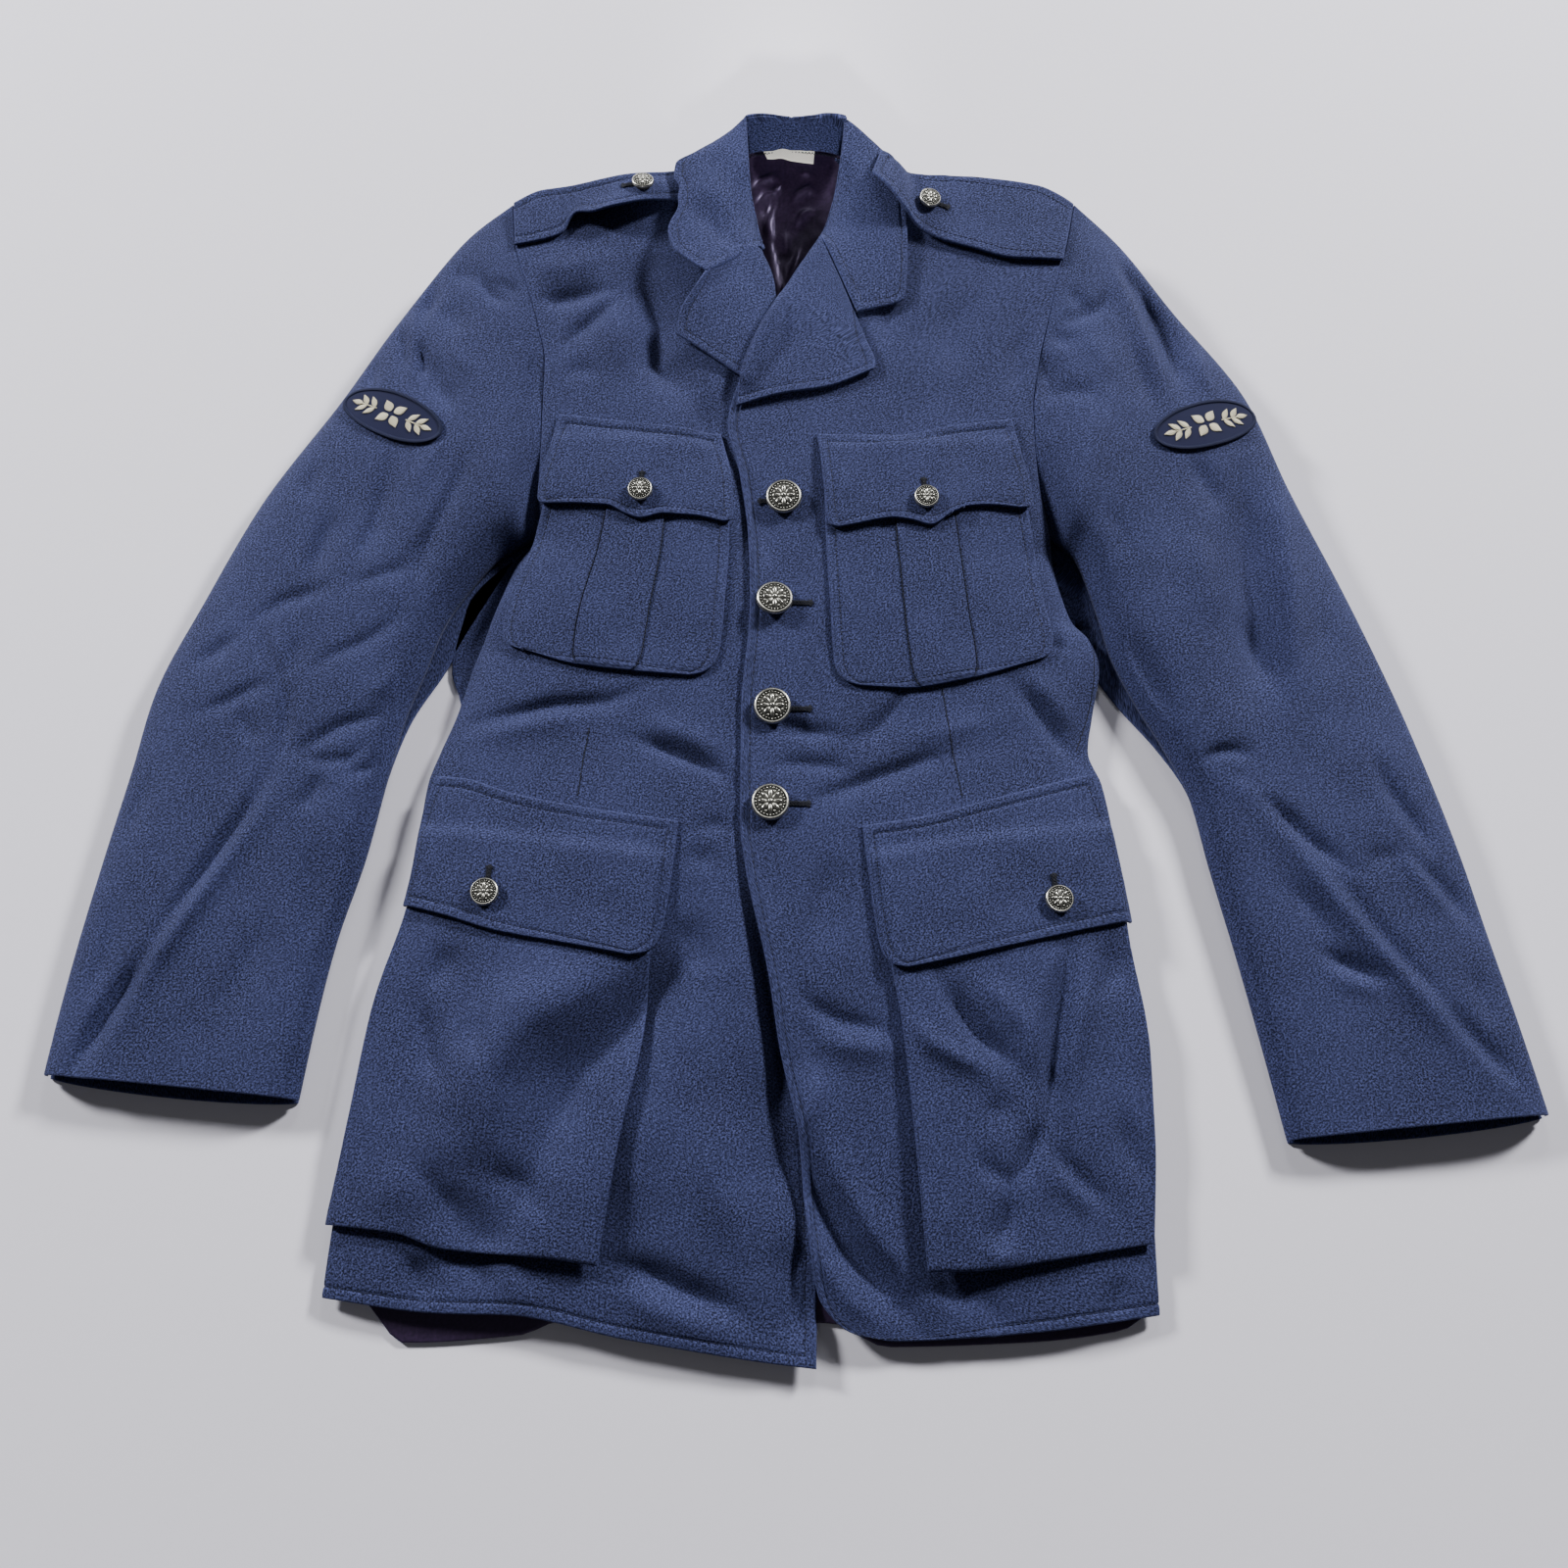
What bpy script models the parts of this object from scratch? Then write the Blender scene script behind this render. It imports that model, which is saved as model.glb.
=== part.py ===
"""Dress uniform jacket of lined wool, buttoned and laid flat on its back.

The tables are in millimetres: +X to the wearer's left, +Y to the collar, +Z up from the surface it
lies on. The origin is under the middle of the whole jacket. The scene is in metres.
"""

import math
from collections import namedtuple

import bmesh
import bpy
import numpy as np
from mathutils import Vector
from mathutils.bvhtree import BVHTree

MM = 0.001
CLOTH = 2.0
LINING = 1.0
EMBROIDERY = 1.4
RIBBON = 0.8
GAP = 0.3
SEAM = 0.4
ARMHOLE_SEAM = 1.0
UNDERARM_Y = 97.0
SHOULDER_Y = 338.0
BACK_INSET = 1.2
SHOULDER_TURN = 30.0
CUFF_REACH = 5.0
CUFF_EDGE = 4.4
STAND_SHARE = 0.88
PLACKET_DROP = 2.7
HIGH = 300.0
PROBES = 7
PROBE_STEP = 1.5
LAY_TURNS = 40
LAY_PART = 0.6
LAY_FINE = 0.02

WOOL = (0.055, 0.085, 0.190)
SATIN = (0.020, 0.012, 0.028)
PEWTER = (0.42, 0.42, 0.40)
NAVY = (0.012, 0.016, 0.075)
CREAM = (0.76, 0.72, 0.60)

# Sections of the body from the hem up: both edges, the side seams, and the height at edge and middle
Section = namedtuple("Section", "y right right_seam left_seam left edge crown")
BODY = [
    Section(-395, -255, -241, 182, 196, 4.6, 9),
    Section(-330, -252, -238, 183, 197, 4.6, 13),
    Section(-264, -247, -233, 188, 202, 4.6, 16),
    Section(-224, -242, -228, 189, 203, 4.6, 17),
    Section(-187, -237, -223, 184, 198, 4.6, 18),
    Section(-145, -226, -212, 181, 195, 4.6, 19),
    Section(-106, -223, -209, 178, 192, 4.6, 20),
    Section(-68, -220, -206, 173, 187, 4.6, 20),
    Section(-47, -214, -200, 166, 180, 4.6, 20),
    Section(-24, -206, -192, 170, 184, 4.6, 21),
    Section(12, -197, -183, 177, 191, 4.6, 23),
    Section(28, -192, -178, 172, 186, 4.6, 24),
    Section(40, -189, -175, 163, 176, 4.6, 25),
    Section(56, -184, -171, 160, 171, 4.6, 26),
    Section(80, -175, -166, 158, 166, 4.8, 27),
    Section(97, -163, -162, 163, 164, 12, 28),
    Section(129, -162, -160.4, 156.4, 158, 22, 30),
    Section(158, -161, -159.6, 154.6, 156, 27, 31),
    Section(180, -161, -160, 155, 156, 29, 32),
    Section(214, -161, -160.4, 160.4, 161, 32, 34),
    Section(248, -168, -168, 169, 169, 35, 36),
    Section(281, -178, -178, 177, 177, 38, 38),
    Section(301, -184, -184, 183, 183, 39, 40),
    Section(338, -188, -188, 191, 191, 36, 43),
]

# Sections of a sleeve from the shoulder down: both edges with their heights, and the middle height
Cuff = namedtuple("Cuff", "out_x out_y out_z in_x in_y in_z crown")
RIGHT_SLEEVE = [
    Cuff(-222, 314, 25, -171, 93, 8, 36),
    Cuff(-264, 254, 14, -187, 83, 5.5, 33),
    Cuff(-298, 197, 6, -205.7, 59, 4.4, 29),
    Cuff(-340, 125, 4.4, -218.3, 36, 4.4, 27),
    Cuff(-371, 49, 4.4, -227, 7, 4.4, 25),
    Cuff(-391, -6, 4.4, -237, -26, 4.4, 24),
    Cuff(-399, -60, 4.4, -245, -68, 4.4, 22),
    Cuff(-407, -112, 4.4, -253, -115, 4.4, 21),
    Cuff(-414, -162, 4.4, -264, -160, 4.4, 20),
    Cuff(-419, -207, 4.4, -271, -203, 4.4, 19),
    Cuff(-422, -241, 4.4, -277, -255, 4.4, 18),
]
LEFT_SLEEVE = [
    Cuff(223, 309, 26, 172, 91, 8, 36),
    Cuff(257, 262, 15, 182, 80, 5.5, 33),
    Cuff(299, 203, 6, 191.2, 48, 4.4, 29),
    Cuff(322, 132, 4.4, 198.3, 16, 4.4, 27),
    Cuff(347, 61, 4.4, 210.5, -14, 4.4, 26),
    Cuff(368, -5, 4.4, 225.5, -44, 4.4, 25),
    Cuff(383, -60, 4.4, 238.5, -75, 4.4, 23),
    Cuff(395, -112, 4.4, 246.5, -120, 4.4, 22),
    Cuff(404, -162, 4.4, 255.5, -166, 4.4, 21),
    Cuff(413, -210, 4.4, 264.5, -216, 4.4, 20),
    Cuff(422, -263, 4.4, 274.5, -277, 4.4, 18),
]

# Edges across the jacket, each a row of x and y
Edge = namedtuple("Edge", "x y")
RIGHT_HEM = [
    Edge(-255, -359), Edge(-190, -367), Edge(-152, -368), Edge(-90, -380), Edge(-20, -391), Edge(14, -395),
]
LEFT_HEM = [Edge(16, -370), Edge(34, -378), Edge(52, -381), Edge(125, -377), Edge(197, -368)]
BACK_HEM = [
    Edge(-255, -350), Edge(-232, -360), Edge(-208, -382), Edge(-146, -378), Edge(-125, -371), Edge(20, -372),
    Edge(50, -384), Edge(120, -382), Edge(175, -376), Edge(197, -362),
]
RIGHT_SHOULDER = [Edge(-189, 338), Edge(-168, 347), Edge(-125, 351), Edge(-80, 360), Edge(-46, 366)]
LEFT_SHOULDER = [Edge(46, 365), Edge(92, 358), Edge(117, 357), Edge(166, 351), Edge(192, 338)]

# How far the back shows outside the side bodies at the underarms
Reach = namedtuple("Reach", "y right left")
UNDERARMS = [
    Reach(-40, 0, 0), Reach(-16, 2, 0), Reach(8, 15, 0), Reach(26, 20, 0), Reach(42, 20, 7),
    Reach(58, 17, 11), Reach(80, 6, 7), Reach(93, 0.4, 1), Reach(104, -0.6, 0),
]

# The top of the back, which turns up to meet the fronts and the collar
Rise = namedtuple("Rise", "x y z")
BACK_TOP = [
    Rise(-189, 336, 30), Rise(-146, 348, 34), Rise(-104, 353, 36), Rise(-80, 358, 36),
    Rise(-50, 374, 31), Rise(-25, 387, 26), Rise(0, 391, 25), Rise(25, 387, 26),
    Rise(50, 374, 31), Rise(70, 360, 36), Rise(117, 355, 36), Rise(147, 351, 34), Rise(192, 336, 30),
]
BACK_TURN = 46.0

# Shares of the way up the back that its rows are gathered to: the underarms and the neck have most
BACK_ROWS = ((0.0, 0.28, 0.62, 0.8, 1.0), (0.0, 0.46, 0.68, 0.9, 1.0))

# Front edges from the hem to the neck: the left front laps over the right one
RIGHT_FRONT_EDGE = [
    Edge(12, -395), Edge(12, -345), Edge(10, -280), Edge(7, -100), Edge(6, 130), Edge(5, 190),
    Edge(-1, 230), Edge(-10, 266), Edge(-20, 299), Edge(-34, 330), Edge(-46, 368),
]
LEFT_FRONT_EDGE = [
    Edge(46, -381), Edge(33, -378), Edge(22, -371), Edge(13, -358), Edge(9, -335), Edge(4, -281),
    Edge(-8, -225), Edge(-14, -186), Edge(-28, -120), Edge(-31, -93), Edge(-31, -26),
    Edge(-26, 45), Edge(-27, 82), Edge(-33, 133), Edge(-41, 170), Edge(-33, 204),
    Edge(-5, 266), Edge(17, 300), Edge(34, 330), Edge(48, 367),
]

# The largest folds: a path of three places, half width and height, which is negative for a trough
Fold = namedtuple("Fold", "x0 y0 x1 y1 x2 y2 width height")
FOLDS = [
    # Skirt of the right front, then its hem and front edge
    Fold(-70, -205, -150, -245, -150, -310, 24, -4.0),
    Fold(-62, -345, -48, -362, -30, -385, 14, 3.5),
    Fold(-24, -190, -14, -250, -4, -330, 13, -4.5),
    # Skirt of the left front
    Fold(6, -275, 28, -330, 60, -378, 15, -4.0),
    Fold(-8, -196, 22, -213, 56, -222, 13, 4.0),
    Fold(86, -196, 112, -228, 136, -256, 13, -4.5),
    Fold(158, -182, 142, -228, 146, -285, 15, 4.0),
    # Waist, drawn to the lowest button
    Fold(-200, -30, -170, -24, -140, -18, 16, -4.0),
    Fold(-90, -35, -60, -55, -28, -74, 15, 4.0),
    Fold(10, -66, 55, -46, 115, -20, 14, 4.0),
    Fold(40, -28, 90, 0, 150, 18, 12, -3.0),
    # Chest, hollow beside the lapels
    Fold(-128, 270, -112, 225, -120, 180, 24, -3.5),
    Fold(116, 272, 108, 225, 112, 180, 22, -3.0),
]
SLEEVE_FOLDS = [
    # Left sleeve: the long fold to the cuff and two beside it
    Fold(262, -66, 318, -128, 394, -244, 18, 6.0),
    Fold(350, -50, 368, -95, 384, -140, 16, 4.5),
    Fold(292, -168, 312, -180, 334, -190, 15, 3.5),
    Fold(236, 280, 254, 225, 264, 185, 19, -4.0),
    Fold(296, 140, 292, 90, 286, 40, 24, 3.5),
    # Right sleeve: the bend of the elbow, the pressed line and the drape below the patch
    Fold(-330, 0, -290, -28, -246, -44, 20, 5.0),
    Fold(-300, -60, -348, -155, -393, -236, 16, 4.5),
    Fold(-252, 150, -228, 100, -214, 50, 19, -4.0),
    Fold(-345, 95, -300, 45, -262, 10, 23, 4.0),
    Fold(-238, 290, -238, 250, -240, 205, 20, -4.0),
]

# The collar from the middle of the back to the notch: roll line, outer edge and foot of the stand
Roll = namedtuple("Roll", "x y z out_x out_y out_z foot_x foot_y foot_z")
RIGHT_COLLAR = [
    Roll(-0.6, 394, 56, -0.6, 398, 24, 0, 389.5, 29.2),
    Roll(-20, 395, 57, -27, 397, 28, -19, 388.5, 29.2),
    Roll(-32, 392, 57, -49, 383, 46, -33, 383, 32),
    Roll(-31, 372, 54, -65, 368, 51, -38, 368, 40),
    Roll(-29, 345, 50, -79, 346, 51, -34, 345, 42),
    Roll(-25, 328, 47, -82, 316, 50, -29, 329, 41),
    Roll(-22, 311, 45, -77, 294, 49, -22, 311, 39),
    Roll(-19, 299, 43, -55, 275, 44, -18, 303, 38),
]
LEFT_COLLAR = [
    Roll(0.6, 394, 56, 0.6, 398, 24, 0, 389.5, 29.2),
    Roll(24, 394, 57, 30, 396, 28, 20, 388.5, 29.2),
    Roll(37, 391, 57, 53, 380, 46, 35, 382, 32),
    Roll(35, 368, 54, 69, 362, 49, 41, 366, 40),
    Roll(31, 347, 50, 76, 338, 48, 36, 345, 42),
    Roll(26, 332, 47, 77, 300, 46, 31, 333, 41),
    Roll(21, 318, 45, 74, 260, 44, 23, 318, 39),
    Roll(18, 311, 44, 43, 249, 42, 19, 313, 38),
]

# A patch of cloth by its corners and edges: each edge is rows of x and y from one end to the other
Patch = namedtuple("Patch", "bottom top start end")
RIGHT_LAPEL = Patch(
    bottom=[Edge(-75, 232), Edge(-52, 216), Edge(-27, 198)],
    top=[Edge(-55.5, 272.5), Edge(-32, 297), Edge(-20, 295.5)],
    start=[Edge(-75, 232), Edge(-73, 246), Edge(-65, 260), Edge(-55.5, 272.5)],
    end=[Edge(-27, 198), Edge(-14, 232), Edge(-10, 262), Edge(-12, 277), Edge(-20, 295.5)],
)
LEFT_LAPEL = Patch(
    bottom=[Edge(-36, 181), Edge(-2, 190), Edge(22, 194), Edge(53, 207)],
    top=[Edge(16.5, 310), Edge(30, 279), Edge(42, 247)],
    start=[Edge(-36, 181), Edge(-33, 204), Edge(-5, 266), Edge(16.5, 310)],
    end=[Edge(53, 207), Edge(54, 212), Edge(48, 230), Edge(42, 247)],
)
RIGHT_STRAP = Patch(
    bottom=[Edge(-184, 301), Edge(-151, 309), Edge(-122, 316), Edge(-102, 321), Edge(-72, 336)],
    top=[Edge(-187, 336), Edge(-167, 345), Edge(-124, 349), Edge(-104, 354), Edge(-78, 360)],
    start=[Edge(-184, 301), Edge(-187, 336)],
    end=[Edge(-72, 336), Edge(-66, 350), Edge(-78, 360)],
)
LEFT_STRAP = Patch(
    bottom=[Edge(53, 342), Edge(61, 334), Edge(75, 319), Edge(96, 305), Edge(121, 297), Edge(147, 290),
            Edge(180, 289)],
    top=[Edge(60, 366), Edge(72, 363), Edge(92, 357), Edge(117, 356), Edge(147, 352), Edge(166, 349),
         Edge(190, 336)],
    start=[Edge(53, 342), Edge(60, 366)],
    end=[Edge(180, 289), Edge(190, 336)],
)
RIGHT_CHEST_POCKET = Patch(
    bottom=[Edge(-168, 17), Edge(-132, 5), Edge(-97, 0), Edge(-60, -3)],
    top=[Edge(-148, 158), Edge(-106, 155), Edge(-50, 150)],
    start=[Edge(-168, 17), Edge(-178, 30), Edge(-177, 48), Edge(-163, 90), Edge(-148, 158)],
    end=[Edge(-60, -3), Edge(-47, 10), Edge(-42, 37), Edge(-39, 96), Edge(-50, 150)],
)
LEFT_CHEST_POCKET = Patch(
    bottom=[Edge(38, -9), Edge(71, -11), Edge(106, -5), Edge(152, 9)],
    top=[Edge(20, 150), Edge(64, 152), Edge(140, 155)],
    start=[Edge(38, -9), Edge(26, 5), Edge(23, 41), Edge(21, 94), Edge(20, 150)],
    end=[Edge(152, 9), Edge(160, 22), Edge(157, 44), Edge(150, 100), Edge(140, 155)],
)
RIGHT_CHEST_FLAP = Patch(
    bottom=[Edge(-160, 112), Edge(-130, 111), Edge(-115, 109), Edge(-104, 103), Edge(-95, 100),
            Edge(-80, 103), Edge(-62, 102), Edge(-37, 96)],
    top=[Edge(-149, 176), Edge(-106, 170), Edge(-46, 163)],
    start=[Edge(-160, 112), Edge(-161, 128), Edge(-155, 150), Edge(-149, 176)],
    end=[Edge(-37, 96), Edge(-36, 106), Edge(-38, 130), Edge(-46, 163)],
)
LEFT_CHEST_FLAP = Patch(
    bottom=[Edge(23, 94), Edge(40, 96), Edge(62, 100), Edge(76, 98), Edge(86, 95), Edge(100, 104),
            Edge(110, 109), Edge(124, 110), Edge(150, 108)],
    top=[Edge(16, 161), Edge(64, 160), Edge(105, 168), Edge(141, 172)],
    start=[Edge(23, 94), Edge(21, 113), Edge(18, 143), Edge(16, 161)],
    end=[Edge(150, 108), Edge(152, 121), Edge(148, 140), Edge(141, 172)],
)
RIGHT_LOWER_POCKET = Patch(
    bottom=[Edge(-255, -322), Edge(-214, -327), Edge(-189, -335), Edge(-131, -340), Edge(-104, -344)],
    top=[Edge(-218, -100), Edge(-150, -108), Edge(-76, -118)],
    start=[Edge(-255, -322), Edge(-247, -264), Edge(-241, -210), Edge(-225, -145), Edge(-218, -100)],
    end=[Edge(-104, -344), Edge(-95, -282), Edge(-84, -221), Edge(-81, -176), Edge(-76, -118)],
)
LEFT_LOWER_POCKET = Patch(
    bottom=[Edge(71, -347), Edge(101, -346), Edge(144, -340), Edge(195, -332)],
    top=[Edge(49, -118), Edge(110, -108), Edge(186, -98)],
    start=[Edge(71, -347), Edge(65, -263), Edge(60, -209), Edge(56, -184), Edge(49, -118)],
    end=[Edge(195, -332), Edge(200, -280), Edge(201, -224), Edge(193, -151), Edge(186, -98)],
)
RIGHT_LOWER_FLAP = Patch(
    bottom=[Edge(-227, -144), Edge(-199, -152), Edge(-171, -161), Edge(-134, -168), Edge(-82, -177)],
    top=[Edge(-214, -64), Edge(-195, -67), Edge(-166, -77), Edge(-125, -86), Edge(-67, -95)],
    start=[Edge(-227, -144), Edge(-223, -120), Edge(-221, -92), Edge(-214, -64)],
    end=[Edge(-82, -177), Edge(-74, -160), Edge(-70, -128), Edge(-67, -95)],
)
LEFT_LOWER_FLAP = Patch(
    bottom=[Edge(55, -184), Edge(71, -182), Edge(107, -174), Edge(150, -164), Edge(198, -153)],
    top=[Edge(41, -98), Edge(78, -92), Edge(114, -82), Edge(180, -63)],
    start=[Edge(55, -184), Edge(47, -157), Edge(44, -128), Edge(41, -98)],
    end=[Edge(198, -153), Edge(194, -125), Edge(189, -95), Edge(180, -63)],
)
LABEL = Patch(
    bottom=[Edge(-19, 379), Edge(13, 378)],
    top=[Edge(-19, 386), Edge(13, 385)],
    start=[Edge(-19, 379), Edge(-19, 386)],
    end=[Edge(13, 378), Edge(13, 385)],
)

# The lining that shows in the neck, from the chest up: both edges and the height
Lining = namedtuple("Lining", "y right left z")
NECK_LINING = [
    Lining(240, -30, 30, 8), Lining(275, -38, 38, 10), Lining(310, -44, 44, 13),
    Lining(345, -42, 42, 20), Lining(366, -32, 34, 24), Lining(385, -20, 20, 27),
]

# Box pleats of the chest pockets: the share of the width where the pleat begins and ends, and its rise
PLEAT = (0.35, 0.66)
PLEAT_RISE = 1.3
BELLOWS = 6.0

# Turned buttons: share of the radius and share of the height from the crown to the shank
Turn = namedtuple("Turn", "radius height")
BUTTON_PROFILE = [
    Turn(0.0, 1.0), Turn(0.52, 0.92), Turn(0.80, 0.72), Turn(0.94, 0.66), Turn(1.0, 0.50),
    Turn(0.94, 0.34), Turn(0.26, 0.28), Turn(0.24, 0.0), Turn(0.0, 0.0),
]
SHANK_SHARE = 0.28
Button = namedtuple("Button", "name x y diameter height")
BUTTONS = [
    Button("front_button_1", -5, 116, 22.5, 6.4), Button("front_button_2", -11, 46, 22.5, 6.4),
    Button("front_button_3", -12, -23, 22.5, 6.4), Button("front_button_4", -13, -84, 22.5, 6.4),
    Button("chest_button_right", -95, 118, 15.5, 5.0), Button("chest_button_left", 84, 113, 15.5, 5.0),
    Button("lower_button_right", -177, -139, 16.5, 5.0), Button("lower_button_left", 153, -143, 16.5, 5.0),
    Button("strap_button_right", -99, 341, 14.5, 4.8), Button("strap_button_left", 92, 333, 14.5, 4.8),
]
BUTTON_STEPS = 14
RIM_PLACES = 8

# Rows of a front from hem to shoulder, and those of them that the side body takes
FRONT_ROWS = 27
SIDE_ROWS = 18

# Sleeve badges: an oval of embroidered cloth, its middle, size and turn
Badge = namedtuple("Badge", "name x y length width turn")
BADGES = [
    Badge("sleeve_badge_right", -257, 176, 74, 32, -26),
    Badge("sleeve_badge_left", 266, 170, 74, 32, 19),
]


def column(rows, name):
    """The values of one named column of a table."""
    return np.array([getattr(row, name) for row in rows], float)


def follow(keys, values, at):
    """Reads a smooth curve through the rows of a table, with no overshoot between them."""
    keys, values = np.asarray(keys, float), np.asarray(values, float)
    at = np.clip(at, keys[0], keys[-1])
    step = np.diff(keys)
    slope = np.diff(values) / step
    both = slope[:-1] * slope[1:]
    total = np.where(both > 0, slope[:-1] + slope[1:], 1.0)
    inner = np.where(both > 0, 2.0 * both / total, 0.0)
    tangent = np.concatenate([[slope[0]], inner, [slope[-1]]])
    i = np.clip(np.searchsorted(keys, at, side="right") - 1, 0, len(keys) - 2)
    t = (at - keys[i]) / step[i]
    share = t * t * (3 - 2 * t)
    bend = t * (1 - t) ** 2 * tangent[i] - (1 - t) * t**2 * tangent[i + 1]
    return values[i] * (1 - share) + values[i + 1] * share + step[i] * bend


def across_y(rows, name, y):
    """A column of a table of sections, read at a height up the jacket."""
    return follow(column(rows, "y"), column(rows, name), y)


def edge_y(rows, x):
    """The y of an edge that runs across the jacket."""
    return follow(column(rows, "x"), column(rows, "y"), x)


def along(rows, share):
    """Places along an edge, by its share of the length."""
    x, y = column(rows, "x"), column(rows, "y")
    run = np.concatenate([[0.0], np.cumsum(np.hypot(np.diff(x), np.diff(y)))])
    return np.stack([follow(run, x, share * run[-1]), follow(run, y, share * run[-1])], axis=-1)


def flat_top(s):
    """The share of the crown's height across a section, from -1 to 1: level, with rounded sides."""
    s = np.clip(np.abs(s), 0.0, 1.0)
    return 0.45 * (1 - s**4) + 0.55 * np.sqrt(1 - s**16)


def smooth_step(t):
    """From 0 to 1, level at both ends."""
    t = np.clip(t, 0.0, 1.0)
    return t * t * (3 - 2 * t)


def folds_at(folds, x, y):
    """The height that the folds add at a place."""
    x, y = np.asarray(x, float), np.asarray(y, float)
    total = np.zeros(np.broadcast(x, y).shape)
    for fold in folds:
        best = np.full(total.shape, np.inf)
        place = np.zeros(total.shape)
        legs = [(fold.x0, fold.y0, fold.x1, fold.y1), (fold.x1, fold.y1, fold.x2, fold.y2)]
        for number, (ax, ay, bx, by) in enumerate(legs):
            dx, dy = bx - ax, by - ay
            t = np.clip(((x - ax) * dx + (y - ay) * dy) / (dx * dx + dy * dy), 0, 1)
            away = np.hypot(x - ax - t * dx, y - ay - t * dy)
            place = np.where(away < best, (number + t) / len(legs), place)
            best = np.minimum(best, away)
        taper = 0.25 + 0.75 * np.sin(math.pi * np.clip(place, 0, 1))
        total += fold.height * taper * np.exp(-((best / fold.width) ** 2))
    return total


def body_height(x, y):
    """The height of the jacket's upper face over the body."""
    right, left = across_y(BODY, "right", y), across_y(BODY, "left", y)
    s = (x - (left + right) / 2) / ((left - right) / 2)
    edge, crown = across_y(BODY, "edge", y), across_y(BODY, "crown", y)
    fade = smooth_step((1 - np.abs(s)) / 0.12)
    return edge + (crown - edge) * flat_top(s) + folds_at(FOLDS, x, y) * fade


def patch_places(patch, u, v):
    """Places inside four edges, where u runs from start to end and v from bottom to top."""
    bottom, top = along(patch.bottom, u), along(patch.top, u)
    start, end = along(patch.start, v), along(patch.end, v)
    u, v = u[:, None], v[:, None]
    corner = [along(edge, np.array([share]))[0] for edge in (patch.bottom, patch.top) for share in (0.0, 1.0)]
    mixed = (1 - v) * ((1 - u) * corner[0] + u * corner[1]) + v * ((1 - u) * corner[2] + u * corner[3])
    return (1 - v) * bottom + v * top + (1 - u) * start + u * end - mixed


def material(name, colour, roughness, metallic=0.0):
    """A plain surface for one kind of piece."""
    made = bpy.data.materials.new(name)
    made.use_nodes = True
    shader = made.node_tree.nodes["Principled BSDF"]
    shader.inputs["Base Color"].default_value = (*colour, 1.0)
    shader.inputs["Roughness"].default_value = roughness
    shader.inputs["Metallic"].default_value = metallic
    return made


def clear_scene():
    """Removes every object that the scene starts with."""
    for item in list(bpy.data.objects):
        bpy.data.objects.remove(item, do_unlink=True)


def grid(columns, rows):
    """A flat grid with its places across and along as shares of each side."""
    cloth = bmesh.new()
    bmesh.ops.create_grid(cloth, x_segments=columns, y_segments=rows, size=0.5)
    cloth.verts.ensure_lookup_table()
    shares = np.array([vert.co.xy for vert in cloth.verts]) + 0.5
    return cloth, shares[:, 0], shares[:, 1]


class Jacket:
    """The collection, the parent empty and the finishes that every piece takes."""

    def __init__(self):
        self.collection = bpy.data.collections.new("Dress uniform jacket")
        bpy.context.scene.collection.children.link(self.collection)
        self.frame = bpy.data.objects.new("Jacket", None)
        self.collection.objects.link(self.frame)
        self.wool = material("Blue wool", WOOL, 0.85)
        self.satin = material("Dark satin", SATIN, 0.35)
        self.pewter = material("Pewter", PEWTER, 0.38, 1.0)
        self.navy = material("Navy embroidery", NAVY, 0.75)
        self.cream = material("Cream ribbon", CREAM, 0.7)

    def add(self, name, mesh, finish):
        """Puts a mesh in the jacket as one named piece."""
        piece = bpy.data.objects.new(name, mesh)
        mesh.materials.append(finish)
        self.collection.objects.link(piece)
        piece.parent = self.frame
        return piece

    def cloth(self, name, columns, rows, place, wall=CLOTH, on=(), finish=None, lift=None, out=None):
        """A sheet of cloth with its lower face on what it lies on, and its wall above.

        Where out is given the sheet stands, and its wall is on the side that the grid faces.
        """
        mesh_builder, u, v = grid(columns, rows)
        places = place(u, v)
        if on:
            bpy.context.view_layer.update()
            settle(mesh_builder, places, on, lift(u, v) if lift else None)
        for vert, (x, y, z) in zip(mesh_builder.verts, places):
            vert.co = (x * MM, y * MM, z * MM)
        mesh_builder.normal_update()
        if out is None and sum(face.normal.z * face.calc_area() for face in mesh_builder.faces) < 0:
            bmesh.ops.reverse_faces(mesh_builder, faces=mesh_builder.faces[:])
        for face in mesh_builder.faces:
            face.smooth = True
        mesh = bpy.data.meshes.new(name)
        mesh_builder.to_mesh(mesh)
        mesh_builder.free()
        piece = self.add(name, mesh, finish or self.wool)
        thick = piece.modifiers.new("Cloth wall", "SOLIDIFY")
        thick.thickness = wall * MM
        thick.offset = 1.0
        return piece


def settle(cloth, places, below, lift):
    """Lays a sheet on what is under it, so that every part of every face clears it by the gap.

    Rows without a height (NaN) take it from what is under them, with the lift added.
    """
    top = tops(below)
    for number, (x, y, z) in enumerate(places):
        if math.isnan(z):
            under = top(x, y)
            base = body_height(x, y) if under is None else under
            places[number, 2] = base + GAP + (0.0 if lift is None else lift[number])
    corners, shares, floors = [], [], []
    for triangles in both_ways(cloth):
        for found in (probe_faces(triangles, places, top), probe_edges(triangles, places, below)):
            for rows, kept in zip(found, (corners, shares, floors)):
                kept.extend(rows)
    if not floors:
        return
    corners, shares, floors = np.array(corners), np.array(shares), np.array(floors)
    for turn in range(LAY_TURNS):
        lack = floors - np.sum(shares * places[corners, 2], axis=1)
        if lack.max() <= LAY_FINE:
            return
        short = np.zeros(len(places))
        np.maximum.at(short, corners, np.maximum(lack, 0)[:, None])
        places[:, 2] += short * (LAY_PART if turn < LAY_TURNS - 3 else 1.0)


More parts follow.
